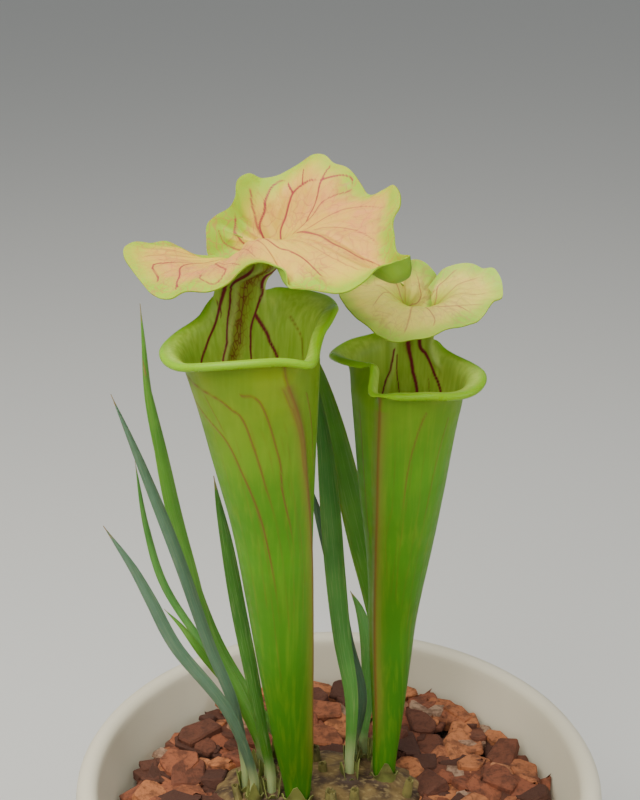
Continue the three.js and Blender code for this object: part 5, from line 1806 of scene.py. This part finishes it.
@dataclass
class Rootstock:
    """The knobbly crown that every stem grows out of, with old stumps and torn sheaths.

    A stump is (x, y, radius, height). A stem is (x, y, radius).
    """

    centre: Point = (-10, 8, 162)
    radii: Point = (59, 38, 15)
    stumps: Stations = ((-4, -12, 4.5, 9), (8, -8, 3.8, 7), (-8, 14, 3.6, 8), (-12, 27, 4.2, 9),
                        (36, 2, 3.4, 6), (-52, -3, 3.2, 6), (-16, 6, 3, 7))
    stems: Stations = ((-22, -8, 6.6), (25, 12, 5.8), (22, 27, 3.4), (6, 9, 3.2), (8, 22, 3), (14, 31, 3),
                       (-38, 8, 3.2), (-28, 19, 3), (-36, -5, 3.2), (-50, 2, 3), (-45, -8, 3), (-43, 21, 3),
                       (-33, 30, 2.9))
    mound: float = 2.2
    stump_foot: float = 162.0
    stump_sunk: float = 12.0
    stump_narrowing: float = 0.62
    sheath_foot: float = 172.0
    sheath_height: float = 9.0
    sheath_gap: float = 0.7
    sheath_wall: float = 0.45
    seed: int = 3

    def body(self) -> Object:
        """Makes the lumpy rind, with a mound round each stem."""
        piece = settle(added(bpy.ops.mesh.primitive_ico_sphere_add, subdivisions=6, radius=1), "rootstock")
        ball = coordinates(piece.data)
        x, y, z = ball.T
        knobs = 1 + 0.035 * np.sin(5 * x + 1) * np.cos(6 * y) + 0.02 * np.sin(11 * x * y)
        rings = 0.012 * np.sin(34 * x + 3 * np.sin(7 * y)) + 0.01 * np.sin(23 * y + 9 * z)
        places = np.array(self.centre) + ball * np.array(self.radii) * (knobs + rings)[:, None]
        for px, py, radius in self.stems:
            away = np.maximum(0, np.hypot(places[:, 0] - px, places[:, 1] - py) - radius)
            upper = places[:, 2] > self.centre[2]
            places[:, 2] += np.where(upper, self.mound * np.exp(-(away / self.mound) ** 2), 0)
        put(piece.data, places * MM)
        carry(piece.data, "young", 0.0)
        return piece

    def stump(self, x: float, y: float, radius: float, height: float, rng: random.Random) -> Object:
        """Makes the stub of an old leaf at x and y, hollow at its top, which is torn at random."""
        low = self.stump_foot
        tall = height + self.stump_sunk
        piece = added(bpy.ops.mesh.primitive_cylinder_add, vertices=18, radius=radius * MM,
                      depth=tall * MM, location=(x * MM, y * MM, (low + tall / 2) * MM))
        edit(piece, "FACE")
        top = max(piece.data.polygons, key=lambda face: face.center.z)
        top.select = True
        bpy.ops.object.mode_set(mode="EDIT")
        bpy.ops.transform.resize(value=(self.stump_narrowing, self.stump_narrowing, 1))
        bpy.ops.mesh.inset(thickness=radius * 0.2 * MM)
        bpy.ops.mesh.extrude_region_move(TRANSFORM_OT_translate={"value": (0, 0, -0.3 * height * MM)})
        close()
        settle(piece, "stump")
        places = coordinates(piece.data)
        high = places[:, 2] > (low + height * 0.8) * MM
        torn = np.array([rng.uniform(-1.3, 0.6) for _ in places])
        places[:, 2] += np.where(high, torn * MM, 0)
        places[:, 0] += (places[:, 2] - low * MM) * x * 0.004
        put(piece.data, places)
        carry(piece.data, "young", 0.35)
        return piece

    def sheath(self, x: float, y: float, radius: float, rng: random.Random) -> Object:
        """Makes a papery collar, torn at random, round the foot of a stem at x and y."""
        piece = ringed_tube("sheath", 26, 5, end_fill_type="NOTHING")
        places = coordinates(piece.data)
        angle = np.arctan2(places[:, 1], places[:, 0])
        share = places[:, 2]
        phase = rng.uniform(0, 6)
        tall = self.sheath_height + 5 * np.sin(angle * 2 + phase) + 3 * np.sin(angle * 5 + 2 * phase)
        height = self.sheath_foot + share * np.maximum(3, tall)
        flare = 1.6 * share ** 2
        wide = radius + self.sheath_gap + flare + 0.25 * np.sin(angle * 9 + phase) * share
        points = np.stack([x + wide * np.cos(angle), y + wide * np.sin(angle), height], -1)
        put(piece.data, points * MM)
        modify(piece, "SOLIDIFY", thickness=self.sheath_wall * MM)
        carry(piece.data, "young", 0.8)
        return piece

    def build(self) -> Object:
        """Builds the crown with its stumps and sheaths as one piece."""
        rng = random.Random(self.seed)
        parts = [self.body()]
        for x, y, radius, height in self.stumps:
            parts.append(self.stump(x, y, radius, height, rng))
        for x, y, radius in self.stems:
            parts.append(self.sheath(x, y, radius, rng))
        piece = joined(parts, "rootstock")
        smooth(piece, 55)
        dress(piece, RootstockFinish().material(), "crown", "crown")
        return piece


@dataclass
class Pot:
    """A plain round pot with a deep rim and four drain holes."""

    height: float = 190.0
    foot_radius: float = 96.0
    shoulder_radius: float = 127.0
    rim_radius: float = 140.0
    rim_depth: float = 34.0
    rim_round: float = 6.0
    wall: float = 9.0
    floor: float = 10.0
    drain_radius: float = 6.0
    drain_circle: float = 48.0
    drains: int = 4
    sides: int = 144
    side_steps: int = 8

    def inner_radius(self, height: float) -> float:
        """The inside radius at a height below the rim."""
        share = min(1.0, height / (self.height - self.rim_depth))
        return self.foot_radius + (self.shoulder_radius - self.foot_radius) * share - self.wall

    def profile(self) -> list[tuple[float, float]]:
        """The pot's outline as radii and heights, from the foot up the outside and down the inside."""
        band = self.height - self.rim_depth
        rim = self.rim_radius
        top = self.height
        bend = self.rim_round
        foot = self.foot_radius
        outline = [(foot - 4, 0.0), (foot - 1.2, 0.9), (foot, 3.0)]
        for n in range(1, self.side_steps + 1):
            share = n / self.side_steps
            outline.append((foot + (self.shoulder_radius - foot) * share, 3 + (band - 3) * share))
        outline += [(self.shoulder_radius + 1.5, band + 0.3), (rim - 3, band + 2.2), (rim - 0.8, band + 3.6),
                    (rim, band + 6), (rim, top - 7)]
        for n in range(1, 8):
            angle = math.pi * n / 8
            outline.append((rim - bend + bend * math.cos(angle), top - bend + bend * math.sin(angle)))
        outline += [(rim - 2 * bend, top - 7), (self.inner_radius(band) + 1, band + 1)]
        outline += [(self.inner_radius(band), band - 3), (self.inner_radius(self.floor + 3), self.floor + 3)]
        outline += [(self.inner_radius(self.floor) - 3, self.floor)]
        return outline

    def build(self) -> Object:
        """Draws the foot's disc up along the outline, then cuts the drain holes."""
        outline = self.profile()
        radius, level = outline[0]
        piece = added(bpy.ops.mesh.primitive_circle_add, vertices=self.sides, radius=radius * MM,
                      fill_type="NGON")
        bpy.ops.object.mode_set(mode="EDIT")
        for wide, high in outline[1:]:
            ratio = wide / radius
            bpy.ops.mesh.extrude_region_move(TRANSFORM_OT_translate={"value": (0, 0, (high - level) * MM)})
            bpy.ops.transform.resize(value=(ratio, ratio, 1), center_override=(0, 0, high * MM))
            radius = wide
            level = high
        face_outwards()
        settle(piece, "flower_pot")
        for n in range(self.drains):
            bearing = math.radians(45 + n * 360 / self.drains)
            x = self.drain_circle * math.cos(bearing)
            y = self.drain_circle * math.sin(bearing)
            cutter = added(bpy.ops.mesh.primitive_cylinder_add, vertices=40, radius=self.drain_radius * MM,
                           depth=4 * self.floor * MM, location=(x * MM, y * MM, 0))
            modify(piece, "BOOLEAN", operation="DIFFERENCE", object=cutter)
            bpy.data.objects.remove(cutter)
        smooth(piece, 32)
        dress(piece, PotFinish().material(), "cream", "pot")
        return piece


@dataclass
class PottingMix:
    """The soil that fills the pot, crumbly on top."""

    pot: Pot
    top: float = SOIL_TOP
    sunk: float = 1.2
    gap: float = 0.7
    floor_gap: float = 0.35
    rim_start: float = 0.985
    cuts: int = 90

    def build(self) -> Object:
        """Shapes a lumpy-topped plug that fits the pot."""
        low = self.pot.floor + self.floor_gap
        piece = added(bpy.ops.mesh.primitive_grid_add, x_subdivisions=self.cuts, y_subdivisions=self.cuts,
                      size=2)
        x, y, _ = coordinates(piece.data).T
        round_x = x * np.sqrt(1 - y * y / 2)
        round_y = y * np.sqrt(1 - x * x / 2)
        reach = self.pot.inner_radius(self.top) - self.gap
        crumbs = 0.8 * np.sin(round_x * 57) * np.cos(round_y * 49) + 0.6 * np.sin(round_x * 91 + round_y * 83)
        inside = np.hypot(round_x, round_y) < self.rim_start
        level = self.top - self.sunk + np.where(inside, crumbs, -0.8)
        put(piece.data, np.stack([round_x * reach, round_y * reach, level], -1) * MM)
        edit(piece, "FACE")
        bpy.ops.object.mode_set(mode="EDIT")
        bpy.ops.mesh.select_all(action="SELECT")
        bpy.ops.mesh.extrude_region_move(TRANSFORM_OT_translate={"value": (0, 0, 0)})
        close()
        mesh = piece.data
        moved = np.array([v.select for v in mesh.vertices])
        places = coordinates(mesh)
        foot = (self.pot.inner_radius(low) - self.gap) / reach
        places[moved] = places[moved] * np.array([foot, foot, 0]) + np.array([0, 0, low * MM])
        put(mesh, places)
        bpy.ops.object.mode_set(mode="EDIT")
        face_outwards()
        settle(piece, "potting_mix_fill")
        smooth(piece, 50)
        dress(piece, MixFinish().material(), "soil", "potting_mix")
        return piece


@dataclass
class BarkMulch:
    """A layer of loose bark pieces, each a chopped chunk with its own tone.

    The count is of places in the whole layer. Those on the crown are left bare.
    """

    pot: Pot
    crown: Rootstock
    count: int = 520
    kinds: int = 7
    chops: int = 7
    length: float = 25.0
    bevel: float = 0.035
    crown_overlap: float = 4.0
    seed: int = 17

    def chunk(self, rng: random.Random) -> Object:
        """Chops a block, about 1 metre long, along random slanting planes and softens its edges."""
        piece = added(bpy.ops.mesh.primitive_cube_add, size=1)
        piece.scale = (1.0, rng.uniform(0.5, 0.75), rng.uniform(0.2, 0.3))
        settle(piece, "chunk")
        bpy.ops.object.mode_set(mode="EDIT")
        for _ in range(self.chops):
            bearing = rng.uniform(0, 2 * math.pi)
            normal = Vector((math.cos(bearing), math.sin(bearing), rng.uniform(-0.5, 0.5))).normalized()
            reach = rng.uniform(0.26, 0.42)
            bpy.ops.mesh.select_all(action="SELECT")
            bpy.ops.mesh.bisect(plane_co=normal * reach, plane_no=normal, use_fill=True, clear_outer=True)
        bpy.ops.mesh.select_all(action="SELECT")
        bpy.ops.mesh.bevel(offset=self.bevel, segments=1, affect="EDGES")
        close()
        return piece

    def on_crown(self, x: float, y: float) -> bool:
        """Whether a place is on the crown, leaving out its outermost ring."""
        cx, cy, _ = self.crown.centre
        rx, ry, _ = self.crown.radii
        over = self.crown_overlap
        return ((x - cx) / (rx - over)) ** 2 + ((y - cy) / (ry - over)) ** 2 < 1

    def build(self) -> Object:
        """Scatters copies of a few chunks over the layer, clear of the pot's wall."""
        rng = random.Random(self.seed)
        kinds = [self.chunk(rng) for _ in range(self.kinds)]
        reach = self.pot.inner_radius(MULCH_TOP) - 1.0
        parts = []
        for n in range(self.count):
            ring = math.sqrt((n + 0.5) / self.count)
            bearing = math.radians(n * GOLDEN_ANGLE) + rng.uniform(-0.06, 0.06)
            size = self.length * rng.uniform(0.5, 1.25)
            distance = min(ring * reach, reach - size * 0.36)
            x = distance * math.cos(bearing)
            y = distance * math.sin(bearing)
            if self.on_crown(x, y):
                continue
            level = SOIL_TOP + rng.uniform(2.5, 9.5)
            mesh = kinds[n % self.kinds].data.copy()
            turn = Matrix.Rotation(rng.uniform(0, 2 * math.pi), 4, "Z")
            turn = turn @ Matrix.Rotation(rng.uniform(-0.28, 0.28), 4, "X")
            turn = turn @ Matrix.Rotation(rng.uniform(-0.24, 0.24), 4, "Y")
            place = Matrix.Translation((x * MM, y * MM, level * MM))
            mesh.transform(place @ turn @ Matrix.Scale(size * MM, 4))
            carry(mesh, "tone", rng.random())
            parts.append(placed("chip", mesh))
        for kind in kinds:
            bpy.data.objects.remove(kind)
        piece = joined(parts, "bark_pieces")
        smooth(piece, 24)
        dress(piece, BarkFinish().material(), "bark", "bark_mulch")
        return piece


@dataclass(frozen=True)
class Lamp:
    """A square soft light. Its power is in watts."""

    name: str
    place: Point
    size: float
    power: float
    colour: int

    def build(self, aim: Vector) -> None:
        """Adds the light, pointing at a place in metres."""
        light = bpy.data.lights.new(self.name, "AREA")
        light.size = self.size * MM
        light.energy = self.power
        light.color = shade(self.colour)[:3]
        holder = placed(self.name, light)
        holder.location = Vector(self.place) * MM
        holder.rotation_euler = (aim - holder.location).to_track_quat("-Z", "Y").to_euler()


@dataclass
class Studio:
    """The pale floor, the soft lights and the camera."""

    eye: Point = (-10, -665, 686)
    pitch_down: float = 23.0
    lens: float = 67.5
    sensor: float = 36.0
    aim_height: float = 350.0
    floor_size: float = 30.0
    floor_colour: int = 0xD8D6D0
    floor_roughness: float = 0.9
    air_colour: int = 0xDDE2E6
    air_strength: float = 0.42
    lamps: tuple[Lamp, ...] = (
        Lamp("sky_light", (-450, -350, 1500), 1200, 30, 0xFFFDF6),
        Lamp("side_light", (1100, -300, 800), 800, 5, 0xF2F7FF),
        Lamp("front_light", (-350, -1200, 1000), 900, 7, 0xFFFFFF),
    )

    def build(self) -> None:
        """Adds everything that isn't part of the plant."""
        floor = added(bpy.ops.mesh.primitive_plane_add, size=self.floor_size)
        floor.name = "floor"
        paint = Graph("pale_floor").finish(shade(self.floor_colour), self.floor_roughness)
        floor.data.materials.append(paint)
        world = bpy.data.worlds.new("studio")
        world.use_nodes = True
        air = world.node_tree.nodes["Background"]
        air.inputs["Color"].default_value = shade(self.air_colour)
        air.inputs["Strength"].default_value = self.air_strength
        bpy.context.scene.world = world
        for lamp in self.lamps:
            lamp.build(Vector((0, 0, self.aim_height * MM)))
        camera = bpy.data.cameras.new("camera")
        camera.lens = self.lens
        camera.sensor_width = self.sensor
        holder = placed("camera", camera)
        holder.location = Vector(self.eye) * MM
        holder.rotation_euler = (math.radians(90 - self.pitch_down), 0, 0)
        bpy.context.scene.camera = holder


def corners(bounds: Sequence[Sequence[float]]) -> list[list[float]]:
    """A box's two corners as plain lists."""
    return [[float(value) for value in corner] for corner in bounds]


def main() -> None:
    """Builds the studio and every piece of the plant."""
    logging.basicConfig(level=logging.INFO, format="%(message)s")
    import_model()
    Studio().build()
    pot = Pot()
    crown = Rootstock()
    for pitcher in (front_pitcher(), back_pitcher()):
        pitcher.build()
    for leaf in sword_leaves():
        leaf.build()
    crown.build()
    pot.build()
    PottingMix(pot).build()
    BarkMulch(pot, crown).build()


if __name__ == "__main__":
    main()
